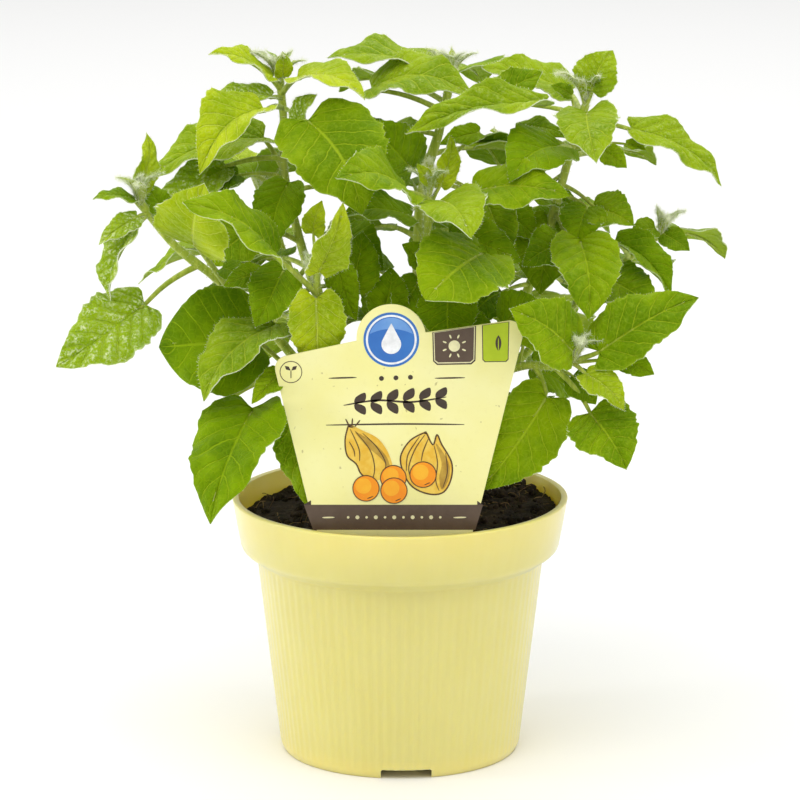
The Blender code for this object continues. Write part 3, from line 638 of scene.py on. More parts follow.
class Palette:
    """Every material of the plant, each made on first use."""

    @cache
    def leaf(self, tone: Tone) -> tuple[Material, Material, Material]:
        """A leaf's upper side, its underside and its downy margin."""
        finish = LEAF_FINISHES[tone]
        return (dress_leaf_side(finish.name + "_upper", finish, under=False),
                dress_leaf_side(finish.name + "_under", finish, under=True),
                self._down(finish.name + "_margin", finish.margin))

    @cache
    def down(self) -> Material:
        """The fine pale hairs on stems and petioles."""
        return self._down("plant_down", (0.93, 0.97, 0.70, 1))

    @staticmethod
    def _down(name: str, colour: Colour) -> Material:
        """A soft pale finish that varies a little."""
        made, wire, shader = fresh_material(name, 0.8, 0.2)
        spots = wire.noise(wire.object_place(), 800.0)
        wire.feed(shader.inputs["Base Color"], wire.mix(wire.band(spots, 0.35, 0.65), dulled(colour), colour))
        shader.inputs["Sheen Weight"].default_value = 0.4
        return made

    @cache
    def stem(self) -> Material:
        """Green stem skin with long streaks, browner low down."""
        made, wire, shader = fresh_material("stem_skin", 0.55, 0.35)
        place = wire.object_place()
        streaks = wire.band(wire.noise(wire.stretched(place, (1.0, 1.0, 0.08)), 700.0, 3.0), 0.35, 0.7)
        green = wire.mix(streaks, (0.28, 0.38, 0.012, 1), (0.46, 0.54, 0.060, 1))
        split = made.node_tree.nodes.new("ShaderNodeSeparateXYZ")
        wire.feed(split.inputs[0], place)
        woody = wire.times(wire.band(split.outputs[2], 0.135, 0.090), 0.6)
        blotch = wire.times(wire.band(wire.noise(place, 90.0, 3.0), 0.52, 0.72), 0.35)
        coloured = wire.mix(wire.math("MAXIMUM", woody, blotch), green, (0.26, 0.22, 0.07, 1))
        wire.feed(shader.inputs["Base Color"], coloured)
        wire.feed(shader.inputs["Normal"], wire.bump(streaks, 0.15 * MM, 0.5))
        shader.inputs["Sheen Weight"].default_value = 0.3
        return made

    @cache
    def pot(self) -> Material:
        """Pale yellow moulded plastic."""
        made, wire, shader = fresh_material("pot_plastic", 0.36, 0.45)
        place = wire.object_place()
        cloud = wire.band(wire.noise(place, 18.0, 3.0), 0.35, 0.65)
        flow = wire.band(wire.noise(wire.stretched(place, (1.0, 1.0, 0.06)), 260.0, 2.0), 0.35, 0.65)
        base = wire.mix(cloud, (0.818, 0.685, 0.196, 1), (0.850, 0.716, 0.218, 1))
        base = wire.mix(wire.times(flow, 0.06), base, (0.90, 0.80, 0.36, 1))
        wire.feed(shader.inputs["Base Color"], base)
        rough = wire.band(wire.noise(place, 60.0, 3.0), 0.3, 0.7, 0.31, 0.35)
        wire.feed(shader.inputs["Roughness"], rough)
        wire.feed(shader.inputs["Normal"], wire.bump(wire.noise(place, 1400.0, 2.0), 0.03 * MM, 0.35))
        tune(shader, {"Subsurface Weight": 0.6, "Subsurface Radius": (1.0, 0.85, 0.4),
                      "Subsurface Scale": 6.0 * MM, "Coat Weight": 0.6, "Coat Roughness": 0.22})
        return made

    @cache
    def peat(self) -> Material:
        """Dark crumbly peat."""
        made, wire, shader = fresh_material("peat_soil", 0.9, 0.25)
        place = wire.object_place()
        broad = wire.band(wire.noise(place, 120.0, 5.0, 0.7), 0.35, 0.7)
        fine = wire.band(wire.noise(place, 1100.0, 4.0, 0.7), 0.5, 0.78)
        base = wire.mix(broad, (0.010, 0.007, 0.005, 1), (0.045, 0.028, 0.017, 1))
        wire.feed(shader.inputs["Base Color"], wire.mix(wire.times(fine, 0.55), base, (0.16, 0.10, 0.055, 1)))
        wire.feed(shader.inputs["Normal"], wire.bump(wire.noise(place, 900.0, 5.0, 0.7), 0.5 * MM, 0.9))
        return made

    @cache
    def fibre(self) -> Material:
        """Pale brown peat fibres."""
        made, wire, shader = fresh_material("peat_fibre", 0.85, 0.2)
        spots = wire.band(wire.noise(wire.object_place(), 90.0, 2.0), 0.35, 0.65)
        wire.feed(shader.inputs["Base Color"],
                  wire.mix(spots, (0.10, 0.055, 0.025, 1), (0.28, 0.18, 0.09, 1)))
        return made

    @cache
    def card(self) -> Material:
        """The label's cream card, finely speckled."""
        made, wire, shader = fresh_material("label_card", 0.5, 0.4)
        place = wire.object_place()
        cloud = wire.band(wire.noise(place, 45.0, 4.0), 0.3, 0.7)
        base = wire.mix(cloud, (0.900, 0.850, 0.330, 1), (0.925, 0.885, 0.420, 1))
        grain = wire.times(wire.band(wire.noise(place, 700.0, 3.0, 0.7), 0.55, 0.8), 0.35)
        base = wire.mix(grain, base, (0.80, 0.74, 0.30, 1))
        speck = wire.times(wire.band(wire.noise(place, 420.0, 1.0), 0.74, 0.79), 0.6)
        wire.feed(shader.inputs["Base Color"], wire.mix(speck, base, (0.36, 0.30, 0.12, 1)))
        wire.feed(shader.inputs["Normal"], wire.bump(wire.noise(place, 1800.0, 2.0), 0.02 * MM, 0.3))
        return made

    @cache
    def ink(self, name: str) -> Material:
        """A printed colour, mottled towards its shade."""
        ink = INKS[name]
        made, wire, shader = fresh_material("ink_" + name, 0.42, 0.4)
        spots = wire.band(wire.noise(wire.object_place(), ink.scale, 4.0, 0.6), 0.32, 0.68)
        wire.feed(shader.inputs["Base Color"], wire.mix(spots, ink.colour, ink.shade or dulled(ink.colour)))
        return made

    @cache
    def floor(self) -> Material:
        """The plain pale floor."""
        made, _, shader = fresh_material("pale_floor", 0.9, 0.1)
        shader.inputs["Base Color"].default_value = (0.93, 0.93, 0.92, 1)
        return made


# ---------------------------------------------------------------- mesh helpers


def deselect_all() -> None:
    """Leave object mode with nothing selected."""
    if bpy.context.mode != "OBJECT":
        bpy.ops.object.mode_set(mode="OBJECT")
    bpy.ops.object.select_all(action="DESELECT")


def activate(piece: Piece) -> None:
    """Make one piece the only selected and active one."""
    deselect_all()
    piece.select_set(True)
    bpy.context.view_layer.objects.active = piece


def apply_modifiers(piece: Piece) -> None:
    """Apply all of a piece's modifiers, in order."""
    activate(piece)
    for modifier in list(piece.modifiers):
        bpy.ops.object.modifier_apply(modifier=modifier.name)


def settle(piece: Piece) -> None:
    """Put a piece's place into its mesh."""
    activate(piece)
    bpy.ops.object.transform_apply(location=True, rotation=True, scale=True)


@contextmanager
def whole_mesh_edit() -> Iterator[None]:
    """Edit the active piece with all of it selected, and turn its faces outwards at the end."""
    bpy.ops.object.mode_set(mode="EDIT")
    bpy.ops.mesh.select_all(action="SELECT")
    yield
    bpy.ops.mesh.select_all(action="SELECT")
    bpy.ops.mesh.normals_make_consistent(inside=False)
    bpy.ops.object.mode_set(mode="OBJECT")


def extrude_up(rise: float, factor: float = 1.0) -> None:
    """Extrude the selection along z, and scale the new part about the z axis."""
    bpy.ops.mesh.extrude_region_move(TRANSFORM_OT_translate={"value": (0.0, 0.0, rise)})
    bpy.ops.transform.resize(value=(factor, factor, 1.0), center_override=(0.0, 0.0, 0.0))


def on_circle(radius: float, turn: float, height: float) -> Point:
    """A place on a circle round the z axis."""
    return radius * math.cos(turn), radius * math.sin(turn), height


def dress(piece: Piece, *finishes: Material) -> None:
    """Give a piece these finishes and no others."""
    piece.data.materials.clear()
    for finish in finishes:
        piece.data.materials.append(finish)


def joined(name: str, pieces: list[Piece]) -> Piece:
    """Join pieces into one.

    Args:
        name: The joined piece's name.
        pieces: The pieces; the first one keeps its material slots first.

    Returns:
        The joined piece.
    """
    deselect_all()
    for piece in pieces:
        piece.select_set(True)
    bpy.context.view_layer.objects.active = pieces[0]
    if len(pieces) > 1:
        bpy.ops.object.join()
    pieces[0].name = name
    pieces[0].data.name = name
    return pieces[0]


def copy_of(blank: Piece, name: str) -> Piece:
    """A copy of a blank with its own mesh."""
    made = bpy.data.objects.new(name, blank.data.copy())
    bpy.context.scene.collection.objects.link(made)
    return made


def rows_of(piece: Piece, what: str) -> np.ndarray:
    """Where a mesh's vertices are ("co") or how they face ("normal"), as rows of x, y, z."""
    flat = np.empty(len(piece.data.vertices) * 3)
    piece.data.vertices.foreach_get(what, flat)
    return flat.reshape(-1, 3)


def move_to(piece: Piece, places: np.ndarray) -> None:
    """Give a mesh's vertices new places."""
    piece.data.vertices.foreach_set("co", np.asarray(places, np.float64).reshape(-1))
    piece.data.update()


def smooth(piece: Piece, angle: float = 180.0) -> None:
    """Shade a piece smooth up to an angle in degrees."""
    activate(piece)
    if angle >= 180.0:
        bpy.ops.object.shade_smooth()
    else:
        bpy.ops.object.shade_smooth_by_angle(angle=math.radians(angle))


def hand_over(piece: Piece, slot: str, *nodes: str) -> None:
    """Say what a finished piece rides on and which nodes it stands for."""
    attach(piece, BODY)
    if nodes:
        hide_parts(*nodes)
    LOG.info("%s: %d faces", piece.name, len(piece.data.polygons))


def curve_point(before: Vector, start: Vector, end: Vector, after: Vector, share: float) -> Vector:
    """A point of the Catmull-Rom curve from start to end."""
    return 0.5 * (2 * start + (end - before) * share
                  + (2 * before - 5 * start + 4 * end - after) * share ** 2
                  + (3 * start - before - 3 * end + after) * share ** 3)


def smooth_path(points: list[Vector], per_span: int) -> list[Vector]:
    """A Catmull-Rom curve through points.

    Args:
        points: The points that it passes.
        per_span: How many points stand for each span.

    Returns:
        The curve's points.
    """
    found: list[Vector] = []
    for index in range(len(points) - 1):
        before, start = points[max(index - 1, 0)], points[index]
        end, after = points[index + 1], points[min(index + 2, len(points) - 1)]
        found += [curve_point(before, start, end, after, step / per_span) for step in range(per_span)]
    return found + [points[-1]]


def along_path(points: list[Vector], share: float) -> tuple[Vector, Vector]:
    """The point and the direction at a share of a path's length."""
    lengths = [(b - a).length for a, b in zip(points, points[1:])]
    left = share * sum(lengths)
    for start, end, length in zip(points, points[1:], lengths):
        if left <= length:
            return start.lerp(end, left / length), (end - start).normalized()
        left -= length
    return points[-1], (points[-1] - points[-2]).normalized()


class Blanks:
    """Pieces modelled once, that every leaf, stem, hair and crumb is copied from."""

    def __init__(self) -> None:
        """Model the blanks."""
        self.blade = self._grid("blade_blank", 26, 44)
        self.small_blade = self._grid("small_blade_blank", 12, 20)
        self.tube = self._tube("tube_blank", 8, 14)
        self.stem_tube = self._tube("stem_blank", 14, 60)
        self.hair = self._hair()
        self.hair_tube = self._tube("fibre_blank", 3, 5)
        self.crumb = self._crumb()

    @staticmethod
    def _grid(name: str, across: int, along: int) -> Piece:
        """A flat sheet from -1 to 1, with its UV map."""
        deselect_all()
        bpy.ops.mesh.primitive_grid_add(x_subdivisions=across, y_subdivisions=along, size=2.0)
        made = bpy.context.object
        made.name = name
        return made

    @staticmethod
    def _tube(name: str, sides: int, segments: int) -> Piece:
        """A closed tube along z from 0 to 1, cut into segments."""
        deselect_all()
        bpy.ops.mesh.primitive_circle_add(vertices=sides, radius=1.0, fill_type="NGON")
        made = bpy.context.object
        made.name = name
        with whole_mesh_edit():
            for _ in range(segments):
                extrude_up(1.0 / segments)
        return made

    @staticmethod
    def _hair() -> Piece:
        """A three-sided hair along z from 0 to 1."""
        deselect_all()
        bpy.ops.mesh.primitive_cone_add(vertices=3, radius1=1.0, radius2=0.0, depth=1.0,
                                        end_fill_type="TRIFAN", location=(0.0, 0.0, 0.5))
        made = bpy.context.object
        made.name = "hair_blank"
        settle(made)
        return made

    @staticmethod
    def _crumb() -> Piece:
        """A crumb of peat."""
        deselect_all()
        bpy.ops.mesh.primitive_ico_sphere_add(subdivisions=2, radius=1.0)
        made = bpy.context.object
        made.name = "crumb_blank"
        return made

    def clear(self) -> None:
        """Remove the blanks."""
        for blank in vars(self).values():
            bpy.data.objects.remove(blank, do_unlink=True)


def bent_tube(blank: Piece, name: str, path: list[Vector], radii: list[float]) -> Piece:
    """A copy of a tube blank laid along a path.

    Args:
        blank: The tube blank.
        name: The piece's name.
        path: The path's points in metres.
        radii: The tube's radius at each point, in metres.

    Returns:
        The tube.
    """
    made = copy_of(blank, name)
    places = rows_of(made, "co")
    line = np.array([tuple(point) for point in path])
    steps = np.concatenate([[0.0], np.cumsum(np.linalg.norm(np.diff(line, axis=0), axis=1))])
    share = places[:, 2] * steps[-1]
    centre = np.stack([np.interp(share, steps, line[:, axis]) for axis in range(3)], axis=1)
    radius = np.interp(share, steps, radii)
    tangent = np.gradient(line, steps, axis=0)
    tangent = np.stack([np.interp(share, steps, tangent[:, axis]) for axis in range(3)], axis=1)
    tangent /= np.linalg.norm(tangent, axis=1, keepdims=True)
    first = np.cross(tangent, ASIDE)
    first /= np.linalg.norm(first, axis=1, keepdims=True)
    second = np.cross(tangent, first)
    out = first * places[:, :1] + second * places[:, 1:2]
    move_to(made, centre + out * radius[:, None])
    return made


def scattered(blank: Piece, name: str, frames: list[tuple[np.ndarray, np.ndarray]]) -> Piece:
    """Many copies of a small blank in one mesh.

    Args:
        blank: The blank.
        name: The piece's name.
        frames: For each copy, its place and its 3x3 matrix.

    Returns:
        The piece.
    """
    corners = rows_of(blank, "co")
    faces = [tuple(polygon.vertices) for polygon in blank.data.polygons]
    places = np.concatenate([corners @ turn.T + centre for centre, turn in frames])
    count = len(corners)
    all_faces = [tuple(corner + index * count for corner in face)
                 for index in range(len(frames)) for face in faces]
    mesh = bpy.data.meshes.new(name)
    mesh.from_pydata(places.tolist(), [], all_faces)
    mesh.update()
    made = bpy.data.objects.new(name, mesh)
    bpy.context.scene.collection.objects.link(made)
    return made


@dataclass
class Down:
    """Fine hairs that stand on a piece's vertices."""

    blank: Piece
    finish: Material
    draw: random.Random
    thickness: float = 0.045 * MM

    def on(self, piece: Piece, allowed: list[int], count: int, length: float, lean: float = 0.5) -> Piece:
        """Stand hairs on some of a piece's vertices.

        Args:
            piece: The piece.
            allowed: The vertices that may carry a hair.
            count: How many hairs.
            length: The longest hair, in metres.
            lean: How far a hair leans from the normal.

        Returns:
            The hairs, as a piece of their own.
        """
        places, normals = rows_of(piece, "co"), rows_of(piece, "normal")
        frames = []
        for _ in range(count):
            index = self.draw.choice(allowed)
            jitter = np.array([self.draw.uniform(-1, 1) for _ in range(3)])
            heading = normals[index] + lean * jitter
            heading /= np.linalg.norm(heading)
            first = np.cross(heading, ASIDE)
            first /= np.linalg.norm(first)
            second = np.cross(heading, first)
            size = length * self.draw.uniform(0.45, 1.0)
            turn = np.stack([first * self.thickness, second * self.thickness, heading * size], axis=1)
            frames.append((places[index] - 0.05 * MM * heading, turn))
        made = scattered(self.blank, piece.name + "_down", frames)
        dress(made, self.finish)
        return made


# ---------------------------------------------------------------- pot


@dataclass
class Pot:
    """The pot: a stepped rim, a finely fluted wall, a foot ring with notches, and drain holes."""

    palette: Palette
    rim_band: float = 17.6 * MM
    band_taper: float = 2.9 * MM
    lip: float = 2.4 * MM
    wall: float = 1.4 * MM
    shoulder_radius: float = 51.2 * MM
    shoulder_height: float = 71.2 * MM
    foot_radius: float = 42.8 * MM
    foot_width: float = 2.4 * MM
    base_height: float = 4.2 * MM
    flutes: int = 90
    flute_depth: float = 0.17 * MM
    sides_per_flute: int = 6
    wall_steps: int = 7
    notches: int = 3
    drains: int = 5
    notch_size: tuple[float, float] = (18.0 * MM, 3.4 * MM)
    notch_turn: float = -87.0
    drain_radius: float = 4.0 * MM
    drain_circle: float = 26.0 * MM

    def build(self) -> Piece:
        """Model, cut and dress the pot.

        Returns:
            The finished pot.
        """
        _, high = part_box("pot")
        rim, top = high[0], high[2]
        shell = self._turn(self._profile(rim, top))
        self._flute(shell)
        self._cut(shell)
        dress(shell, self.palette.pot())
        smooth(shell, 32.0)
        shell.name = "pot_shell"
        hand_over(shell, "pot_plastic", "pot")
        return shell

    def _profile(self, rim: float, top: float) -> list[tuple[float, float]]:
        """The rings that the shell passes, from under the base, up outside, and down inside to the floor."""
        band_foot = top - self.rim_band
        band = rim - self.band_taper
        ring = self.foot_radius - 1.0 * MM
        round_ = 0.5 * MM
        rings = [(ring - self.foot_width, 0.3 * MM), (ring - self.foot_width + 0.3 * MM, 0.0),
                 (ring - 0.3 * MM, 0.0)]
        rings += [(ring + 0.5 * MM * math.sin(turn), 0.7 * MM * (1 - math.cos(turn)))
                  for turn in (0.5, 1.0, 1.57)]
        rings += [(self.foot_radius + 0.2 * MM, 1.9 * MM), (self.foot_radius + 0.5 * MM, 3.2 * MM)]
        for step in range(1, self.wall_steps + 1):
            share = step / self.wall_steps
            radius = (self.foot_radius + 0.5 * MM
                      + share * (self.shoulder_radius - self.foot_radius - 0.5 * MM))
            rings.append((radius, 3.2 * MM + share * (self.shoulder_height - 4.4 * MM)))
        rings += [(self.shoulder_radius + 0.15 * MM, self.shoulder_height - 0.5 * MM),
                  (self.shoulder_radius + 0.7 * MM, self.shoulder_height),
                  (self.shoulder_radius + 1.5 * MM, self.shoulder_height + 0.6 * MM),
                  (band - 1.5 * MM, band_foot - 1.4 * MM), (band - 0.5 * MM, band_foot - 0.4 * MM),
                  (band, band_foot + 0.9 * MM), (rim - 0.5 * self.band_taper, top - 0.5 * self.rim_band),
                  (rim - 0.15 * MM, top - 1.2 * MM)]
        for turn in range(0, 5):
            angle = math.radians(turn * 22.5)
            rings.append((rim - round_ * (1 - math.cos(angle)), top - round_ * (1 - math.sin(angle))))
        rings += [(rim - self.lip + 0.5 * MM, top), (rim - self.lip + 0.15 * MM, top - 0.15 * MM),
                  (rim - self.lip, top - 0.5 * MM)]
        inside = band - self.wall
        rings += [(inside, band_foot), (inside - 0.6 * MM, band_foot - 1.0 * MM),
                  (self.shoulder_radius - self.wall, self.shoulder_height),
                  (self.foot_radius - self.wall + 0.6 * MM, self.base_height + self.wall)]
        return rings

    def _turn(self, rings: list[tuple[float, float]]) -> Piece:
        """Extrude a disc through all the rings: it starts as the recessed base and ends as the floor."""
        start = rings[0][0]
        deselect_all()
        bpy.ops.mesh.primitive_circle_add(vertices=self.flutes * self.sides_per_flute, radius=start,
                                          fill_type="NGON", location=(0.0, 0.0, self.base_height))
        shell = bpy.context.object
        settle(shell)
        radius, height = start, self.base_height
        with whole_mesh_edit():
            for next_radius, next_height in rings:
                extrude_up(next_height - height, next_radius / radius)
                radius, height = next_radius, next_height
        return shell

    def _flute(self, shell: Piece) -> None:
        """Press the flutes into the outer wall."""
        places = rows_of(shell, "co")
        radius = np.hypot(places[:, 0], places[:, 1])
        height = places[:, 2]
        expected = (self.foot_radius
                    + (self.shoulder_radius - self.foot_radius) * height / self.shoulder_height)
        near = np.abs(radius - expected) < 0.8 * MM
        outside = near & (height > 3.0 * MM) & (height < self.shoulder_height - 0.8 * MM)
        turn = np.arctan2(places[:, 1], places[:, 0])
        dip = self.flute_depth * (0.5 - 0.5 * np.cos(self.flutes * turn))
        factor = np.where(outside, 1.0 - dip / np.maximum(radius, MM), 1.0)
        places[:, 0] *= factor
        places[:, 1] *= factor
        move_to(shell, places)

    def _cut(self, shell: Piece) -> None:
        """Cut the foot's notches and the drain holes."""
        cutters = []
        width, height = self.notch_size
        for number in range(self.notches):
            turn = math.radians(self.notch_turn + number * 360.0 / self.notches)
            deselect_all()
            bpy.ops.mesh.primitive_cube_add(size=1.0, rotation=(0.0, 0.0, turn),
                                            location=on_circle(self.foot_radius, turn, height / 2 - 1.0 * MM))
            cutter = bpy.context.object
            cutter.scale = (12.0 * MM, width, height + 2.0 * MM)
            bevel = cutter.modifiers.new("corners", "BEVEL")
            settle(cutter)
            bevel.width = 0.8 * MM
            bevel.segments = 3
            apply_modifiers(cutter)
            cutters.append(cutter)
        for number in range(self.drains):
            turn = math.radians(self.notch_turn + (number + 0.5) * 360.0 / self.drains)
            deselect_all()
            bpy.ops.mesh.primitive_cylinder_add(vertices=32, radius=self.drain_radius, depth=8.0 * MM,
                                                location=on_circle(self.drain_circle, turn, self.base_height))
            cutters.append(bpy.context.object)
        for cutter in cutters:
            boolean = shell.modifiers.new("cut", "BOOLEAN")
            boolean.operation = "DIFFERENCE"
            boolean.object = cutter
        apply_modifiers(shell)
        for cutter in cutters:
            bpy.data.objects.remove(cutter, do_unlink=True)


# ---------------------------------------------------------------- soil


@dataclass
class Soil:
    """The peat: a rough bed, loose crumbs and fibres."""

    palette: Palette
    blanks: Blanks
    seed: int = 11
    grid: int = 150
    gap: float = 0.5 * MM
    roughness: float = 2.2 * MM
    bank: float = 3.6 * MM
    shoulder: tuple[float, float] = (70.0 * MM, 49.2 * MM)
    floor_radius: float = 41.4 * MM
    crumbs: int = 620
    fibres: int = 170
    radius: float = field(init=False)
    edge: float = field(init=False)
    draw: random.Random = field(init=False)

    def build(self) -> None:
        """Model and dress the bed, the crumbs and the fibres."""
        low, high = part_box("potting_soil")
        self.radius = high[0] - self.gap
        self.edge = high[2] - 3.0 * MM
        self.draw = random.Random(self.seed)
        self._bed(low[2])
        self._crumbs()
        self._fibres()

    def surface(self, across: float, deep: float) -> float:
        """The bed's height at a place.

        Args:
            across: The place's x.
            deep: The place's y.

        Returns:
            Its z.
        """
        reach = min(math.hypot(across, deep) / self.radius, 1.0)
        spot = Vector((across, deep, 0.0))
        rough = (0.55 * noise.noise(spot * 110.0) + 0.35 * noise.noise(spot * 260.0)
                 + 0.22 * noise.noise(spot * 620.0))
        heap = 3.2 * MM * (1.0 - reach ** 2)
        bank = 1.4 * MM * max(0.0, noise.noise(spot * 45.0)) * reach
        towards = max(0.0, (0.8 * across + 0.6 * deep) / self.radius)
        bank += self.bank * towards ** 2 * reach
        return self.edge + heap + bank + rough * self.roughness

    def _bed(self, bottom: float) -> None:
        """The rough bed: a grid drawn in to a disc, with a skirt down to the pot's floor."""
        deselect_all()
        bpy.ops.mesh.primitive_grid_add(x_subdivisions=self.grid, y_subdivisions=self.grid, size=2.0)
        bed = bpy.context.object
        places = rows_of(bed, "co")
        x, y = places[:, 0], places[:, 1]
        disc_x = x * np.sqrt(1 - y * y / 2)
        disc_y = y * np.sqrt(1 - x * x / 2)
        for index, (across, deep) in enumerate(zip(disc_x * self.radius, disc_y * self.radius)):
            places[index] = (across, deep, self.surface(across, deep))
        move_to(bed, places)
        with whole_mesh_edit():
            self._skirt(bed, bottom)
        bed.name = "soil_bed"
        dress(bed, self.palette.peat())
        smooth(bed, 60.0)
        hand_over(bed, "peat_soil", "potting_soil")

    def _skirt(self, bed: Piece, bottom: float) -> None:
        """Draw the bed's rim down along the pot's wall, and close it below."""
        bpy.ops.mesh.region_to_loop()
        for drop_to, radius in (self.shoulder, (bottom, self.floor_radius)):
            shape = bmesh.from_edit_mesh(bed.data)
            ring = [vertex for vertex in shape.verts if vertex.select]
            level = sum(vertex.co.z for vertex in ring) / len(ring)
            now = max(math.hypot(vertex.co.x, vertex.co.y) for vertex in ring)
            extrude_up(drop_to - level, radius / now)
            shape = bmesh.from_edit_mesh(bed.data)
            for vertex in shape.verts:
                if vertex.select:
                    vertex.co.z = drop_to
            bmesh.update_edit_mesh(bed.data)
        bpy.ops.mesh.edge_face_add()

    def _spot(self, margin: float) -> tuple[float, float]:
        """A random place on the bed."""
        turn = self.draw.uniform(0.0, math.tau)
        reach = (self.radius - margin) * math.sqrt(self.draw.random())
        return reach * math.cos(turn), reach * math.sin(turn)

    def _crumbs(self) -> None:
        """Loose crumbs of many sizes, half sunk in the bed."""
        frames = []
        for _ in range(self.crumbs):
            size = MM * (0.5 + 1.7 * self.draw.random() ** 2.2)
            across, deep = self._spot(2.0 * MM)
            centre = np.array([across, deep, self.surface(across, deep) + 0.25 * size])
            turn = np.array(Vector((self.draw.random(), self.draw.random(), self.draw.random())).normalized()
                            .to_track_quat("Z", "Y").to_matrix())
            stretch = np.diag([size * self.draw.uniform(0.6, 1.2) for _ in range(3)])
            frames.append((centre, turn @ stretch))
        crumbs = scattered(self.blanks.crumb, "soil_crumbs", frames)
        places = rows_of(crumbs, "co")
        for index, place in enumerate(places):
            places[index] = place + np.array(noise.noise_vector(Vector(place) * 900.0)) * 0.35 * MM
        move_to(crumbs, places)
        dress(crumbs, self.palette.peat())
        hand_over(crumbs, "peat_soil")

    def _fibres(self) -> None:
        """Thin peat fibres that lie on the bed or stick up from it."""
        pieces = []
        for number in range(self.fibres):
            across, deep = self._spot(1.5 * MM)
            start = Vector((across, deep, self.surface(across, deep) - 0.2 * MM))
            heading = self.draw.uniform(0.0, math.tau)
            rise = self.draw.uniform(0.02, 0.5) if number % 4 else self.draw.uniform(0.6, 1.4)
            length = MM * self.draw.uniform(2.5, 8.0)
            step = Vector((math.cos(heading), math.sin(heading), rise)).normalized() * length
            bend = Vector((self.draw.uniform(-1, 1), self.draw.uniform(-1, 1), self.draw.uniform(0, 1)))
            path = smooth_path([start, start + step * 0.5 + bend * 0.25 * length, start + step], 3)
            for point in path:
                reach = math.hypot(point.x, point.y)
                if reach > self.radius:
                    point.x *= self.radius / reach
                    point.y *= self.radius / reach
            thick = MM * self.draw.uniform(0.10, 0.24)
            pieces.append(bent_tube(self.blanks.hair_tube, f"fibre_{number}", path, [thick] * len(path)))
        fibres = joined("soil_fibres", pieces)
        dress(fibres, self.palette.fibre())
        hand_over(fibres, "peat_soil")


# ---------------------------------------------------------------- label


def arc(centre: tuple[float, float], radius: float, start: float, end: float, steps: int = 24) -> Outline:
    """Points of an arc in the label's plane.

    Args:
        centre: Its centre in millimetres.
        radius: Its radius.
        start: Where it starts, in degrees.
        end: Where it ends.
        steps: Its number of steps.

    Returns:
        The points.
    """
    turns = [math.radians(start + (end - start) * step / steps) for step in range(steps + 1)]
    return [(centre[0] + radius * math.cos(turn), centre[1] + radius * math.sin(turn)) for turn in turns]


def disc(centre: tuple[float, float], radius: float, steps: int = 40) -> Outline:
    """A whole disc's outline."""
    return arc(centre, radius, 0.0, 360.0 - 360.0 / steps, steps - 1)


def stroke(points: Outline, width: float, ends: float = 0.35) -> Outline:
    """The outline of a pen stroke along points, thinner at its ends.

    Args:
        points: The stroke's points.
        width: Its width in the middle.
        ends: Its width at the ends, as a share of the width.

    Returns:
        The outline.
    """
    path = smooth_path([Vector((across, height, 0.0)) for across, height in points], 5)
    left, right = [], []
    for index, point in enumerate(path):
        ahead = path[min(index + 1, len(path) - 1)] - path[max(index - 1, 0)]
        share = index / (len(path) - 1)
        half = 0.5 * width * (ends + (1 - ends) * math.sin(math.pi * share) ** 0.6)
        aside = Vector((-ahead.y, ahead.x, 0.0)).normalized() * half
        left.append((point.x + aside.x, point.y + aside.y))
        right.append((point.x - aside.x, point.y - aside.y))
    return left + right[::-1]


def smooth_outline(points: Outline) -> Outline:
    """A closed curve through points, in five steps from each to the next."""
    count = len(points)
    ring = [Vector((across, height, 0.0)) for across, height in points]
    found = []
    for index in range(count):
        span = (ring[index - 1], ring[index], ring[(index + 1) % count], ring[(index + 2) % count])
        found += [tuple(curve_point(*span, step / 5))[:2] for step in range(5)]
    return found


Layer = tuple[str, str, Outline]

SUN_TAB: tuple[Layer, ...] = (
    ("sun_tab_edge", "dark",
     [(11.1, 162.2), (26.2, 164.5), (26.0, 152.2), (24.6, 150.9), (12.8, 150.7), (11.4, 152.0)]),
    ("sun_tab_line", "cream",
     [(11.5, 162.1), (25.8, 164.3), (25.6, 152.5), (24.4, 151.4), (13.0, 151.2), (11.8, 152.2)]),
    ("sun_tab", "brown",
     [(11.8, 162.0), (25.5, 164.1), (25.3, 152.7), (24.2, 151.8), (13.2, 151.6), (12.1, 152.4)]),
)
LEAF_TAB: tuple[Layer, ...] = (
    ("leaf_tab_edge", "dark",
     [(28.2, 164.7), (37.6, 166.0), (37.4, 152.6), (36.6, 151.8), (29.2, 151.7), (28.4, 152.5)]),
    ("leaf_tab", "green",
     [(28.5, 164.6), (37.3, 165.8), (37.1, 152.8), (36.4, 152.1), (29.4, 152.0), (28.7, 152.7)]),
)
HUSKS: tuple[Outline, ...] = (
    [(-17.8, 129.4), (-19.0, 124.2), (-18.3, 118.6), (-15.2, 115.6), (-13.4, 112.0), (-9.6, 109.6),
     (-5.6, 110.6), (-2.6, 113.6), (-4.0, 119.4), (-7.6, 124.6), (-13.2, 127.6)],
    [(9.0, 127.0), (3.6, 124.0), (0.2, 118.2), (1.4, 112.0), (4.6, 107.2), (10.4, 104.8), (15.2, 105.6),
     (17.8, 110.6), (17.8, 116.4), (14.4, 122.6), (12.8, 126.0), (11.4, 122.4)],
)
HUSK_FOLDS: tuple[Outline, ...] = (
    [(-15.4, 127.0), (-9.0, 123.0), (-4.6, 118.0), (-3.6, 113.8), (-6.6, 117.6), (-11.8, 122.2)],
    [(12.4, 123.0), (16.8, 116.2), (16.9, 110.4), (14.6, 106.4), (13.6, 110.6), (14.4, 116.0)],
)
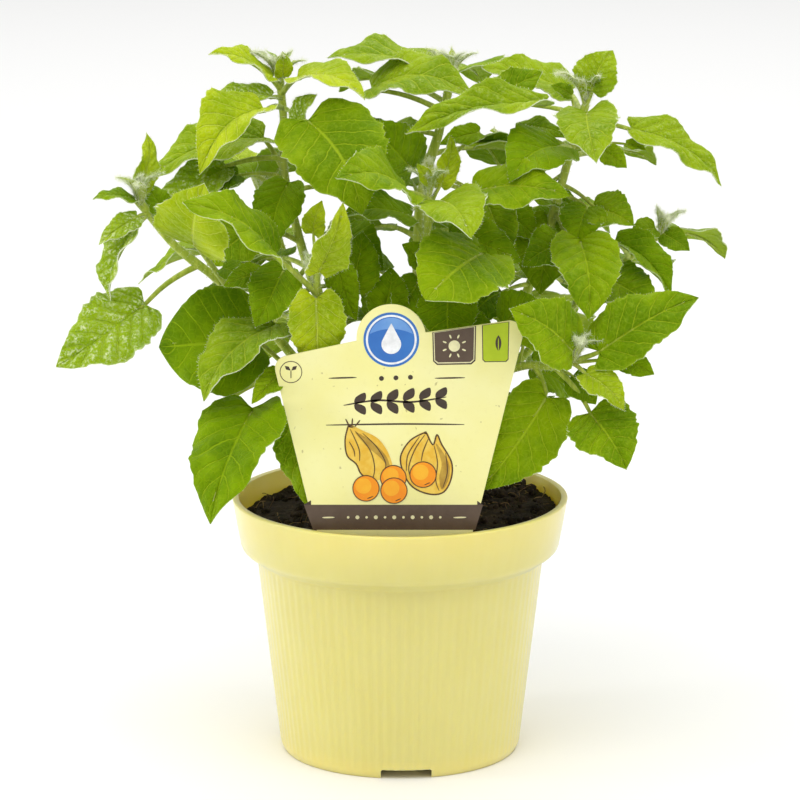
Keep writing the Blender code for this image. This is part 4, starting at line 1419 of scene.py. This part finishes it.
HUSK_RIBS: tuple[Outline, ...] = (
    [(-17.2, 128.0), (-14.2, 121.0), (-14.0, 116.6)],
    [(-15.6, 127.4), (-10.4, 120.6), (-8.8, 114.4), (-9.4, 110.4)],
    [(-17.6, 123.6), (-16.0, 120.6), (-15.6, 118.2)],
    [(8.6, 126.0), (5.0, 120.4), (3.0, 113.6), (5.0, 108.4)],
    [(9.8, 124.6), (8.0, 120.0), (7.4, 116.6)],
    [(11.8, 122.2), (13.0, 116.0), (12.4, 109.8), (13.6, 106.0)],
    [(-13.0, 126.6), (-8.2, 121.8), (-5.0, 116.0), (-5.6, 111.6)],
    [(6.8, 125.4), (2.8, 119.0), (2.2, 113.0)],
    [(15.8, 119.6), (16.4, 112.6), (14.8, 107.0)],
)
HUSK_TAILS: tuple[Outline, ...] = (
    [(-17.6, 129.2), (-18.8, 131.6)], [(-16.6, 129.2), (-16.4, 131.8)], [(-15.6, 128.8), (-13.8, 131.2)],
)
BERRIES: tuple[tuple[str, tuple[float, float], float, int], ...] = (
    ("far", (-2.3, 110.6), 4.4, 4), ("held", (8.0, 111.8), 4.5, 5),
    ("left", (-11.8, 106.9), 4.5, 6), ("near", (-2.1, 106.1), 4.5, 7),
)


@dataclass
class Label:
    """The plant label: a card with a printed band, tabs, a round sign and a drawing of berries."""

    palette: Palette
    layer: float = 0.035 * MM
    corner: float = 4.5
    bump_centre: tuple[float, float] = (-3.0, 160.0)
    bump_radius: float = 12.0
    band_top: float = 101.0
    band_foot: float = 92.0
    face: float = field(init=False)
    back: float = field(init=False)
    stake_foot: float = field(init=False)

    def build(self) -> None:
        """Model the card and lay the printing on its face."""
        low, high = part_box("plant_label")
        self.face = low[1]
        self.back = high[1]
        self.stake_foot = low[2] / MM
        self._card()
        self._printing()
        self._fruit()
        self._back()

    def _sheet(self, name: str, outlines: list[Outline], front: float, back: float) -> Piece:
        """A flat closed shape between two depths.

        Args:
            name: The piece's name.
            outlines: Its outlines in millimetres.
            front: The y of its front, in metres.
            back: The y of its back.

        Returns:
            The piece.
        """
        curve = bpy.data.curves.new(name, "CURVE")
        curve.dimensions = "2D"
        curve.fill_mode = "BOTH"
        curve.extrude = (back - front) / 2
        for outline in outlines:
            spline = curve.splines.new("POLY")
            spline.points.add(len(outline) - 1)
            for point, (across, height) in zip(spline.points, outline):
                point.co = (across * MM, height * MM, 0.0, 1.0)
            spline.use_cyclic_u = True
        made = bpy.data.objects.new(name, curve)
        bpy.context.scene.collection.objects.link(made)
        made.location.y = (front + back) / 2
        made.rotation_euler.x = math.radians(90.0)
        activate(made)
        bpy.ops.object.convert(target="MESH")
        made = bpy.context.object
        settle(made)
        with whole_mesh_edit():
            bpy.ops.mesh.remove_doubles(threshold=0.001 * MM)
        return made

    def _print(self, name: str, outlines: list[Outline], level: int, ink: str) -> None:
        """Lay one printed colour on the card's face."""
        front = self.face - level * self.layer
        made = self._sheet("label_" + name, outlines, front, front + 0.8 * self.layer)
        dress(made, self.palette.ink(ink))
        hand_over(made, "label_card")

    def _stack(self, layers: tuple[Layer, ...]) -> None:
        """Lay layers on each other, the first one on the card."""
        for level, (name, ink, outline) in enumerate(layers, 1):
            self._print(name, [outline], level, ink)

    def card_outline(self) -> Outline:
        """The card's outline: a slanting top edge with a round bump, and a stake below."""
        bump_x, bump_z = self.bump_centre
        stake = 12.0
        return (
            [(-stake, 88.0), (-28.4, 88.6), (-29.0, self.band_foot), (-31.8, self.band_top)]
            + arc((-38.6, 149.4), self.corner, 194.0, 106.0, 6)
            + arc((bump_x, bump_z), self.bump_radius, 184.0, 10.0, 30)
            + arc((37.4, 161.4), self.corner + 0.4, 84.0, -14.0, 6)
            + [(28.0, self.band_top), (25.4, self.band_foot), (25.0, 88.6), (stake, 88.0),
               (stake, self.stake_foot + 8.0), (1.5, self.stake_foot), (-1.5, self.stake_foot),
               (-stake, self.stake_foot + 8.0)]
        )

    def _card(self) -> None:
        """The card itself, with its edges rounded a little."""
        card = self._sheet("label_card", [self.card_outline()], self.face, self.back)
        bevel = card.modifiers.new("edge", "BEVEL")
        bevel.width = 0.12 * MM
        bevel.segments = 2
        bevel.limit_method = "ANGLE"
        bevel.angle_limit = math.radians(40.0)
        apply_modifiers(card)
        dress(card, self.palette.card())
        smooth(card, 40.0)
        hand_over(card, "label_card", "plant_label")

    def _printing(self) -> None:
        """The band, the tabs, the round sign and the rules."""
        band = [(-33.4, self.band_top), (28.8, self.band_top),
                (26.2, self.band_foot), (-30.2, self.band_foot)]
        self._print("band", [band], 1, "brown")
        fold = [[(-33.4, self.band_top), (-30.9, self.band_top), (-30.9, 102.6)],
                [(28.8, self.band_top), (26.8, self.band_top), (26.8, 102.4)]]
        self._print("band_fold", fold, 2, "dark")
        dashes = [stroke([(-27.0, 96.4), (-22.8, 96.5)], 0.55), stroke([(18.6, 96.4), (23.0, 96.5)], 0.55)]
        dots = [disc((-18.0 + 3.2 * dot, 96.5), 0.45 + 0.25 * (dot % 2), 14) for dot in range(11)]
        self._print("band_dashes", dashes + dots, 2, "cream")
        rules = [stroke([(-24.6, 146.0), (-15.0, 146.3)], 0.55), stroke([(12.0, 146.0), (22.4, 146.2)], 0.55),
                 stroke([(-25.6, 129.4), (0.0, 129.8), (22.2, 129.6)], 0.6)]
        self._print("rules", rules, 1, "dark")
        self._sprig()
        self._roundel()
        self._tabs()
        self._seal()

    def _sprig(self) -> None:
        """A drawn sprig with pairs of leaves, and three seeds above it."""
        stem = [(-19.5, 136.4), (-8.0, 138.2), (4.0, 137.6), (16.0, 139.4)]
        self._print("sprig_stem", [stroke(stem, 0.7)], 1, "dark")
        for number in range(6):
            across = -15.5 + 5.6 * number
            height = 137.0 + 0.07 * (across + 15.5)
            for side in (-1, 1):
                size = 3.6 - 0.25 * abs(number - 2.5)
                tip = (across + 3.4, height + side * (size + 0.9))
                blade = [(across, height), (across + 0.2, height + side * size * 0.75), tip,
                         (across + 3.4, height + side * size * 0.35)]
                self._print(f"sprig_leaf_{number}_{side + 1}", [smooth_outline(blade)], 1, "dark")
        seeds = [disc((across, 146.2 + 0.04 * across), 0.85, 20) for across in (-6.4, -1.4, 3.6)]
        self._print("sprig_seeds", seeds, 1, "dark")

    def _roundel(self) -> None:
        """A blue disc with a white water drop: the sign to water."""
        bump_x, bump_z = self.bump_centre
        centre = (bump_x, bump_z - 0.4)
        self._print("sign_disc", [disc(centre, 9.6, 56)], 1, "blue")
        shine = arc(centre, 7.7, 14.0, 166.0, 24) + arc((centre[0], centre[1] - 12.6), 16.4, 116.0, 64.0, 12)
        self._print("sign_shine", [shine], 2, "sky")
        self._print("sign_ring", [disc(centre, 8.75, 56), disc(centre, 8.05, 56)[::-1]], 2, "white")
        drop = arc((centre[0], centre[1] - 1.6), 3.4, -210.0, 30.0, 24)
        drop += [(centre[0] + 1.9, centre[1] + 2.2), (centre[0], centre[1] + 5.8),
                 (centre[0] - 1.9, centre[1] + 2.2)]
        self._print("sign_drop", [drop], 3, "white")

    def _tabs(self) -> None:
        """Two hanging tabs: a brown one with a sun and a green one with a leaf."""
        self._stack(SUN_TAB)
        sun = [disc((18.7, 157.4), 2.0, 24)]
        for ray in range(8):
            turn = math.radians(ray * 45.0 + 22.5)
            ends = [(18.7 + reach * math.cos(turn), 157.4 + reach * math.sin(turn)) for reach in (2.9, 4.3)]
            sun.append(stroke(ends, 0.6))
        self._print("sun", sun, 4, "cream")
        self._stack(LEAF_TAB)
        blade = arc((30.5, 158.4), 4.4, -40.0, 40.0, 8) + arc((37.24, 158.4), 4.4, 140.0, 220.0, 8)
        self._print("leaf_sign", [blade], 3, "dark")
        self._print("leaf_sign_rib", [stroke([(33.87, 155.2), (33.87, 160.2)], 0.32)], 4, "green")

    def _seal(self) -> None:
        """A thin ring with a seedling, by the left corner."""
        centre = (-37.6, 148.2)
        self._print("seal_ring", [disc(centre, 3.9, 44), disc(centre, 3.62, 44)[::-1]], 1, "dark")
        seedling = [stroke([(centre[0], centre[1] - 2.2), (centre[0], centre[1] + 0.4)], 0.35, 0.8)]
        for side in (-1, 1):
            half = [(centre[0] + side * 0.1, centre[1] + 0.5), (centre[0] + side * 1.7, centre[1] + 0.9),
                    (centre[0] + side * 2.1, centre[1] + 2.2), (centre[0] + side * 0.7, centre[1] + 1.9)]
            seedling.append(half[::side])
        self._print("seal_seedling", seedling, 1, "dark")

    def _fruit(self) -> None:
        """The drawing: two papery husks and four berries."""
        self._print("husks", [smooth_outline(husk) for husk in HUSKS], 1, "husk")
        self._print("husk_folds", [smooth_outline(fold) for fold in HUSK_FOLDS], 2, "husk_shade")
        for side, husk in zip(("left", "right"), HUSKS):
            self._print("husk_lines_" + side, [stroke(husk + [husk[0]], 0.52, 0.9)], 3, "pen")
        for number, rib in enumerate(HUSK_RIBS):
            self._print(f"husk_rib_{number + 1}", [stroke(rib, 0.36)], 4, "pen")
        self._print("husk_tails", [stroke(tail, 0.5) for tail in HUSK_TAILS], 2, "pen")
        for name, centre, radius, level in BERRIES:
            self._print(f"berry_{name}_line", [disc(centre, radius + 0.22)], level, "pen")
            self._print(f"berry_{name}", [disc(centre, radius - 0.12)], level + 1, "orange")
            glow = disc((centre[0] - 0.9, centre[1] + 0.9), radius * 0.62, 28)
            self._print(f"berry_{name}_glow", [glow], level + 2, "amber")
            edge = [(centre[0] + 0.55 * radius, centre[1] - 0.62 * radius),
                    (centre[0] + 0.1 * radius, centre[1] - 0.82 * radius)]
            self._print(f"berry_{name}_mark", [stroke(edge, 0.3)], level + 3, "pen")

    def _back(self) -> None:
        """A plain printed band on the card's back, so that it is finished too."""
        outline = [(-31.2, self.band_top), (27.4, self.band_top),
                   (25.2, self.band_foot + 0.4), (-28.8, self.band_foot + 0.4)]
        made = self._sheet("label_back_band", [outline], self.back + 0.2 * self.layer, self.back + self.layer)
        dress(made, self.palette.ink("brown"))
        hand_over(made, "label_card")


# ---------------------------------------------------------------- plant


def blade_half(share: np.ndarray, point: float) -> np.ndarray:
    """Half of a blade's width from its base (0) to its tip (1), as a share of the full width."""
    peak = 0.5 / (0.5 + point)
    top = peak ** 0.5 * (1 - peak) ** point
    return 0.5 * np.clip(share, 0, 1) ** 0.5 * np.clip(1 - share, 0, 1) ** point / top


@dataclass
class Leaf:
    """One leaf: a quilted blade with a thin edge, and its petiole, which runs on as the midrib below."""

    plan: LeafPlan
    name: str
    seed: int
    palette: Palette
    blanks: Blanks
    thickness: float = 0.32 * MM
    base: Vector = field(init=False)
    tip: Vector = field(init=False)
    length: float = field(init=False)
    along: Vector = field(init=False)
    normal: Vector = field(init=False)
    side: Vector = field(init=False)
    draw: random.Random = field(init=False)

    def build(self, root: Vector, upward: Vector) -> Piece:
        """Model and dress the leaf.

        Args:
            root: Where the petiole leaves the stem.
            upward: The stem's direction there.

        Returns:
            The leaf.
        """
        self.base = Vector(self.plan.base) * MM
        self.tip = Vector(self.plan.tip) * MM
        self.length = (self.tip - self.base).length
        self.along = (self.tip - self.base).normalized()
        face = Vector(self.plan.face)
        self.normal = (face - face.dot(self.along) * self.along).normalized()
        self.side = self.along.cross(self.normal)
        self.draw = random.Random(self.seed)
        blade = self._blade()
        petiole = self._petiole(root, upward)
        pieces = [blade, petiole]
        if self.length > SMALL_LEAF:
            pieces += self._hairs(blade, petiole)
        made = joined(self.name, pieces)
        smooth(made, 50.0)
        return made

    def _midrib(self, share: np.ndarray) -> tuple[np.ndarray, np.ndarray]:
        """How far along and how high the midrib is."""
        lift = self.plan.droop * self.length * 4 * share * (1 - share)
        return share * self.length, lift

    def _blade(self) -> Piece:
        """The blade: a sheet bent, folded, quilted and given its thickness."""
        plan = self.plan
        blank = self.blanks.blade if self.length > SMALL_LEAF else self.blanks.small_blade
        blade = copy_of(blank, self.name + "_blade")
        flat = rows_of(blade, "co")
        across, share = flat[:, 0], (flat[:, 1] + 1) / 2
        reach = np.abs(across)
        half = blade_half(share, plan.point) * plan.width * MM
        left_phase, right_phase = self.draw.random(), self.draw.random()
        phase = np.where(across < 0, left_phase, right_phase)
        beat = math.tau * (5.5 * share + phase)
        scallop = 0.65 * np.sin(beat + 0.8 * np.sin(beat)) + 0.35 * np.sin(2.3 * beat + 4.0 * phase)
        window = np.clip(np.minimum(share / 0.12, (0.96 - share) / 0.14), 0, 1)
        half *= 1 + plan.teeth * scallop * window
        half = np.maximum(half, np.where(share < 0.5, 0.45 * MM, 0.10 * MM))
        ahead, lift = self._midrib(share)
        lobes = plan.lobe * self.length * reach ** 1.8 * np.clip(1 - share, 0, 1) ** 4
        ahead = ahead - lobes * np.clip(share / 0.03, 0, 1)
        fold = math.radians(plan.fold)
        sweep = self.draw.uniform(-0.06, 0.06) * self.length
        aside = across * half * math.cos(fold) + sweep * 4 * share * (1 - share)
        lift = lift + reach * half * math.sin(fold) - plan.cup * reach ** 2 * half
        lean = VEIN_LEAN * (1 - VEIN_TAPER * share)
        vein = np.mod(SIDE_VEINS * (share - lean * reach) + 100.0, 1.0)
        puff = np.abs(np.sin(np.pi * vein)) ** 0.8 * np.clip(reach / 0.2, 0, 1)
        puff *= np.clip((1 - reach) / 0.25, 0.15, 1)
        lift = lift + plan.quilt * self.length * puff * np.clip((1 - share) / 0.2, 0, 1)
        wave = np.sin(math.tau * (2.1 * share + phase)) * reach ** 2.5
        ruffle = plan.ruffle * self.length * wave * np.clip((1 - share) / 0.25, 0, 1)
        lift = lift + ruffle * np.clip(share / 0.1, 0, 1)
        curl = self.draw.uniform(0.05, 0.22) * self.length
        lift = lift - curl * np.clip(share - 0.62, 0, 1) ** 1.5
        twist = math.radians(self.draw.uniform(-16.0, 16.0)) * share
        places = (np.outer(ahead, np.array(self.along))
                  + np.outer(aside * np.cos(twist) - lift * np.sin(twist), np.array(self.side))
                  + np.outer(aside * np.sin(twist) + lift * np.cos(twist), np.array(self.normal)))
        places += np.array(self.base)
        rough = min(0.9 * MM, 0.035 * self.length)
        normal = np.array(self.normal)
        for index, place in enumerate(places):
            spot = Vector(place)
            crease = noise.noise(spot * 120.0) * reach[index] + 0.25 * noise.noise(spot * 420.0)
            places[index] += normal * crease * rough
        move_to(blade, places)
        dress(blade, *self.palette.leaf(plan.tone))
        solid = blade.modifiers.new("thickness", "SOLIDIFY")
        solid.thickness = self.thickness
        solid.offset = 0.0
        solid.material_offset = 1
        solid.material_offset_rim = 2
        apply_modifiers(blade)
        return blade

    def _hairs(self, blade: Piece, petiole: Piece) -> list[Piece]:
        """The fringe of fine hairs on the blade's margin, and the hairs on the petiole."""
        down = Down(self.blanks.hair, self.palette.down(), self.draw)
        reach = np.abs(rows_of(self.blanks.blade, "co")[:, 0])
        margin = [index for index, share in enumerate(reach) if share > 0.999]
        young = self.plan.tone in (Tone.YOUNG, Tone.SILVER, Tone.DOWNY)
        return [down.on(blade, margin, 260 if young else 170, (1.1 if young else 0.75) * MM),
                down.on(petiole, list(range(len(petiole.data.vertices))), 90, 0.9 * MM)]

    def _petiole(self, root: Vector, upward: Vector) -> Piece:
        """The petiole from the stem to the blade, and the midrib below the blade."""
        run = (self.base - root).length
        control = root.lerp(self.base, 0.5) + (upward * 0.16 - self.normal * 0.06) * run
        path, radii = [], []
        thick = max(0.32, min(0.85, 0.018 * self.length / MM + 0.35)) * MM
        for step in range(9):
            share = step / 8
            path.append(root.lerp(control, share).lerp(control.lerp(self.base, share), share))
            radii.append(thick * (1.35 - 0.45 * share))
        for step in range(1, 9):
            share = 0.86 * step / 8
            ahead, lift = self._midrib(np.array([share]))
            rise = float(lift[0]) - 0.5 * self.thickness
            path.append(self.base + self.along * float(ahead[0]) + self.normal * rise)
            radii.append(thick * (0.72 - 0.62 * share))
        made = bent_tube(self.blanks.tube, self.name + "_petiole", path, radii)
        dress(made, self.palette.stem())
        return made


@dataclass
class Shoot:
    """One stem with its leaves, its tuft and its down."""

    plan: ShootPlan
    palette: Palette
    blanks: Blanks
    seed: int
    soil_top: float = 86.0
    tuft_hairs: int = 3400
    path: list[Vector] = field(init=False)
    draw: random.Random = field(init=False)

    def build(self) -> None:
        """Model and dress the stem and all that it carries."""
        foot_x, foot_y = self.plan.points[0]
        places = [(foot_x, foot_y, self.soil_top - 14.0), (foot_x, foot_y, self.soil_top + 6.0),
                  *self.plan.points[1:]]
        self.path = smooth_path([Vector(place) * MM for place in places], 8)
        self.draw = random.Random(self.seed)
        self._stem()
        for number, plan in enumerate([*self.plan.leaves, *self._rear_plans()]):
            self._leaf(number, plan)
        self._tuft()

    def _radius(self, share: float) -> float:
        """The stem's radius at a share of its length."""
        return (self.plan.foot_radius + share * (self.plan.top_radius - self.plan.foot_radius)) * MM

    def _stem(self) -> None:
        """The stem, thicker where leaves join it."""
        count = len(self.path)
        radii = []
        for index in range(count):
            share = index / (count - 1)
            knot = sum(math.exp(-((share - plan.at) / 0.018) ** 2) for plan in self.plan.leaves[:7])
            radii.append(self._radius(share) * (1 + 0.18 * min(knot, 1.0)))
        stem = bent_tube(self.blanks.stem_tube, self.plan.node + "_skin", self.path, radii)
        dress(stem, self.palette.stem())
        down = Down(self.blanks.hair, self.palette.down(), self.draw)
        heights = rows_of(stem, "co")[:, 2]
        high = [index for index, height in enumerate(heights) if height > 0.5 * (heights.max() + 88 * MM)]
        low = [index for index, height in enumerate(heights) if height > 92 * MM]
        hairs = [down.on(stem, high, 700, 1.5 * MM), down.on(stem, low, 260, 0.9 * MM)]
        stem = joined(stem.name, [stem, *hairs])
        smooth(stem, 60.0)
        hand_over(stem, "stem_skin", self.plan.node)

    def _leaf(self, number: int, plan: LeafPlan) -> None:
        """One leaf of the plan."""
        on_stem, upward = along_path(self.path, plan.at)
        base = Vector(plan.base) * MM
        outward = (base - on_stem) - (base - on_stem).dot(upward) * upward
        root = on_stem + outward.normalized() * self._radius(plan.at) * 0.5
        name = (plan.node or f"{self.plan.node.replace('stem', 'leaflet')}_{number}") + "_blade"
        made = Leaf(plan, name, self.seed * 100 + number, self.palette, self.blanks).build(root, upward)
        hand_over(made, tone_slot(plan.tone), *([plan.node] if plan.node else []))

    def _rear_plans(self) -> list[LeafPlan]:
        """Leaves that turn to the plant's rear, spaced round the stem as they grow."""
        plans = []
        for number in range(self.plan.rear_leaves):
            at = 0.26 + 0.62 * (number + self.draw.random() * 0.5) / self.plan.rear_leaves
            turn = math.radians(90.0 + 68.0 * math.sin(2.4 * number + self.seed))
            heading = Vector((math.cos(turn), math.sin(turn), self.draw.uniform(-0.15, 0.25))).normalized()
            base = (along_path(self.path, at)[0] / MM + heading * self.draw.uniform(10.0, 16.0)
                    + Vector((0.0, 0.0, 3.0)))
            tip = (base + heading * self.draw.uniform(22.0, 30.0)
                   - Vector((0.0, 0.0, self.draw.uniform(4.0, 12.0))))
            tip.y = min(tip.y, 78.0)
            face = tuple(Vector((0.5 * heading.x, 0.5 * heading.y, 0.85)))
            tone = self.draw.choice((Tone.FRESH, Tone.FRESH, Tone.DEEP))
            plans.append(LeafPlan("", at, tuple(base), tuple(tip), self.draw.uniform(20.0, 28.0), face, tone))
        return plans

    def _tuft(self) -> None:
        """The tuft of tiny leaves at the stem's top."""
        top, upward = along_path(self.path, 1.0)
        pieces = []
        for number in range(self.plan.tuft):
            turn = number * 2.4 + self.seed
            spread = 0.35 + 0.9 * number / self.plan.tuft
            around = Vector((math.cos(turn), math.sin(turn), 0.0))
            outward = around * spread + Vector((0.0, 0.0, 1.0 - 0.35 * spread))
            heading = (outward + upward * 0.4).normalized()
            size = self.plan.tuft_size * (0.8 + 0.7 * number / self.plan.tuft) * self.draw.uniform(0.85, 1.2)
            base = (top + heading * 1.6 * MM) / MM
            tip = base + heading * size
            face = (Vector((0.0, 0.0, 1.0)) - heading * heading.z
                    + Vector((-math.cos(turn), -math.sin(turn), 0.4)) * 0.5)
            tone = Tone.YOUNG if number % 3 == 0 else Tone.SILVER
            plan = LeafPlan("", 1.0, tuple(base), tuple(tip), size * 0.38, tuple(face), tone,
                            fold=34.0, droop=0.16)
            name = f"{self.plan.node.replace('stem', 'tuft')}_{number}"
            pieces.append(Leaf(plan, name, self.seed * 50 + number, self.palette, self.blanks,
                               0.25 * MM).build(top - upward * 0.5 * MM, upward))
        made = joined(self.plan.node.replace("stem", "tuft"), pieces)
        down = Down(self.blanks.hair, self.palette.down(), self.draw)
        hairs = down.on(made, list(range(len(made.data.vertices))), self.tuft_hairs, 2.3 * MM, 0.8)
        made = joined(made.name, [made, hairs])
        hand_over(made, "young_leaf")


def tone_slot(tone: Tone) -> str:
    """The record's material slot for a tone."""
    return {Tone.YOUNG: "young_leaf", Tone.SILVER: "young_leaf", Tone.DOWNY: "green_leaf",
            Tone.FRESH: "green_leaf", Tone.DEEP: "dark_leaf"}[tone]


# ---------------------------------------------------------------- studio


@dataclass
class Studio:
    """The camera, the soft lights and the pale floor."""

    palette: Palette
    distance: float = 1.5
    height: float = 0.4724
    pitch: float = 12.944
    lens: float = 194.4

    def build(self) -> None:
        """Set up the camera, the lights, the world and the floor."""
        self._camera()
        self._lights()
        self._world()
        self._floor()
        bpy.context.scene.view_settings.view_transform = "Standard"

    def _camera(self) -> None:
        """A long lens that looks down a little."""
        data = bpy.data.cameras.new("camera")
        data.lens = self.lens
        data.sensor_width = 36.0
        data.clip_end = 20.0
        camera = bpy.data.objects.new("camera", data)
        camera.location = (0.0, -self.distance, self.height)
        camera.rotation_euler = (math.radians(90.0 - self.pitch), 0.0, 0.0)
        bpy.context.scene.collection.objects.link(camera)
        bpy.context.scene.camera = camera

    @staticmethod
    def _area(name: str, place: Point, target: Point, size: tuple[float, float], power: float) -> None:
        """A soft rectangular light that faces a target."""
        data = bpy.data.lights.new(name, "AREA")
        data.shape = "RECTANGLE"
        data.size, data.size_y = size
        data.energy = power
        light = bpy.data.objects.new(name, data)
        light.location = place
        light.rotation_euler = (Vector(target) - Vector(place)).to_track_quat("-Z", "Y").to_euler()
        bpy.context.scene.collection.objects.link(light)

    def _lights(self) -> None:
        """A strip from the left, a broad light from above and in front, and a fill from the right."""
        middle = (0.0, 0.0, 0.14)
        self._area("strip_left", (-0.62, -0.10, 0.17), (0.0, 0.0, 0.08), (0.10, 0.34), 1.0)
        self._area("top_front", (-0.15, -0.70, 1.25), middle, (1.1, 0.8), 8.6)
        self._area("fill_right", (1.0, -0.5, 0.55), middle, (0.7, 0.9), 2.6)
        self._area("backdrop", (0.0, 1.15, 1.3), (0.0, 1.15, 0.0), (2.6, 2.6), 21.0)

    @staticmethod
    def _world() -> None:
        """An even white surround."""
        world = bpy.data.worlds.new("studio")
        world.use_nodes = True
        background = world.node_tree.nodes["Background"]
        background.inputs["Color"].default_value = (1.0, 1.0, 1.0, 1.0)
        background.inputs["Strength"].default_value = 0.5
        bpy.context.scene.world = world

    def _floor(self) -> None:
        """A wide flat floor under the pot."""
        deselect_all()
        bpy.ops.mesh.primitive_plane_add(size=8.0, location=(0.0, 0.0, -0.02 * MM))
        floor = bpy.context.object
        floor.name = "pale_floor"
        settle(floor)
        dress(floor, self.palette.floor())


def main() -> None:
    """Build the studio, then the pot, the soil, the label and the shoots."""
    logging.basicConfig(level=logging.INFO, format="%(name)s %(message)s")
    palette = Palette()
    blanks = Blanks()
    Studio(palette).build()
    Pot(palette).build()
    Soil(palette, blanks).build()
    Label(palette).build()
    for number, plan in enumerate(SHOOTS):
        Shoot(plan, palette, blanks, seed=number + 3).build()
    blanks.clear()


if __name__ == "__main__":
    main()
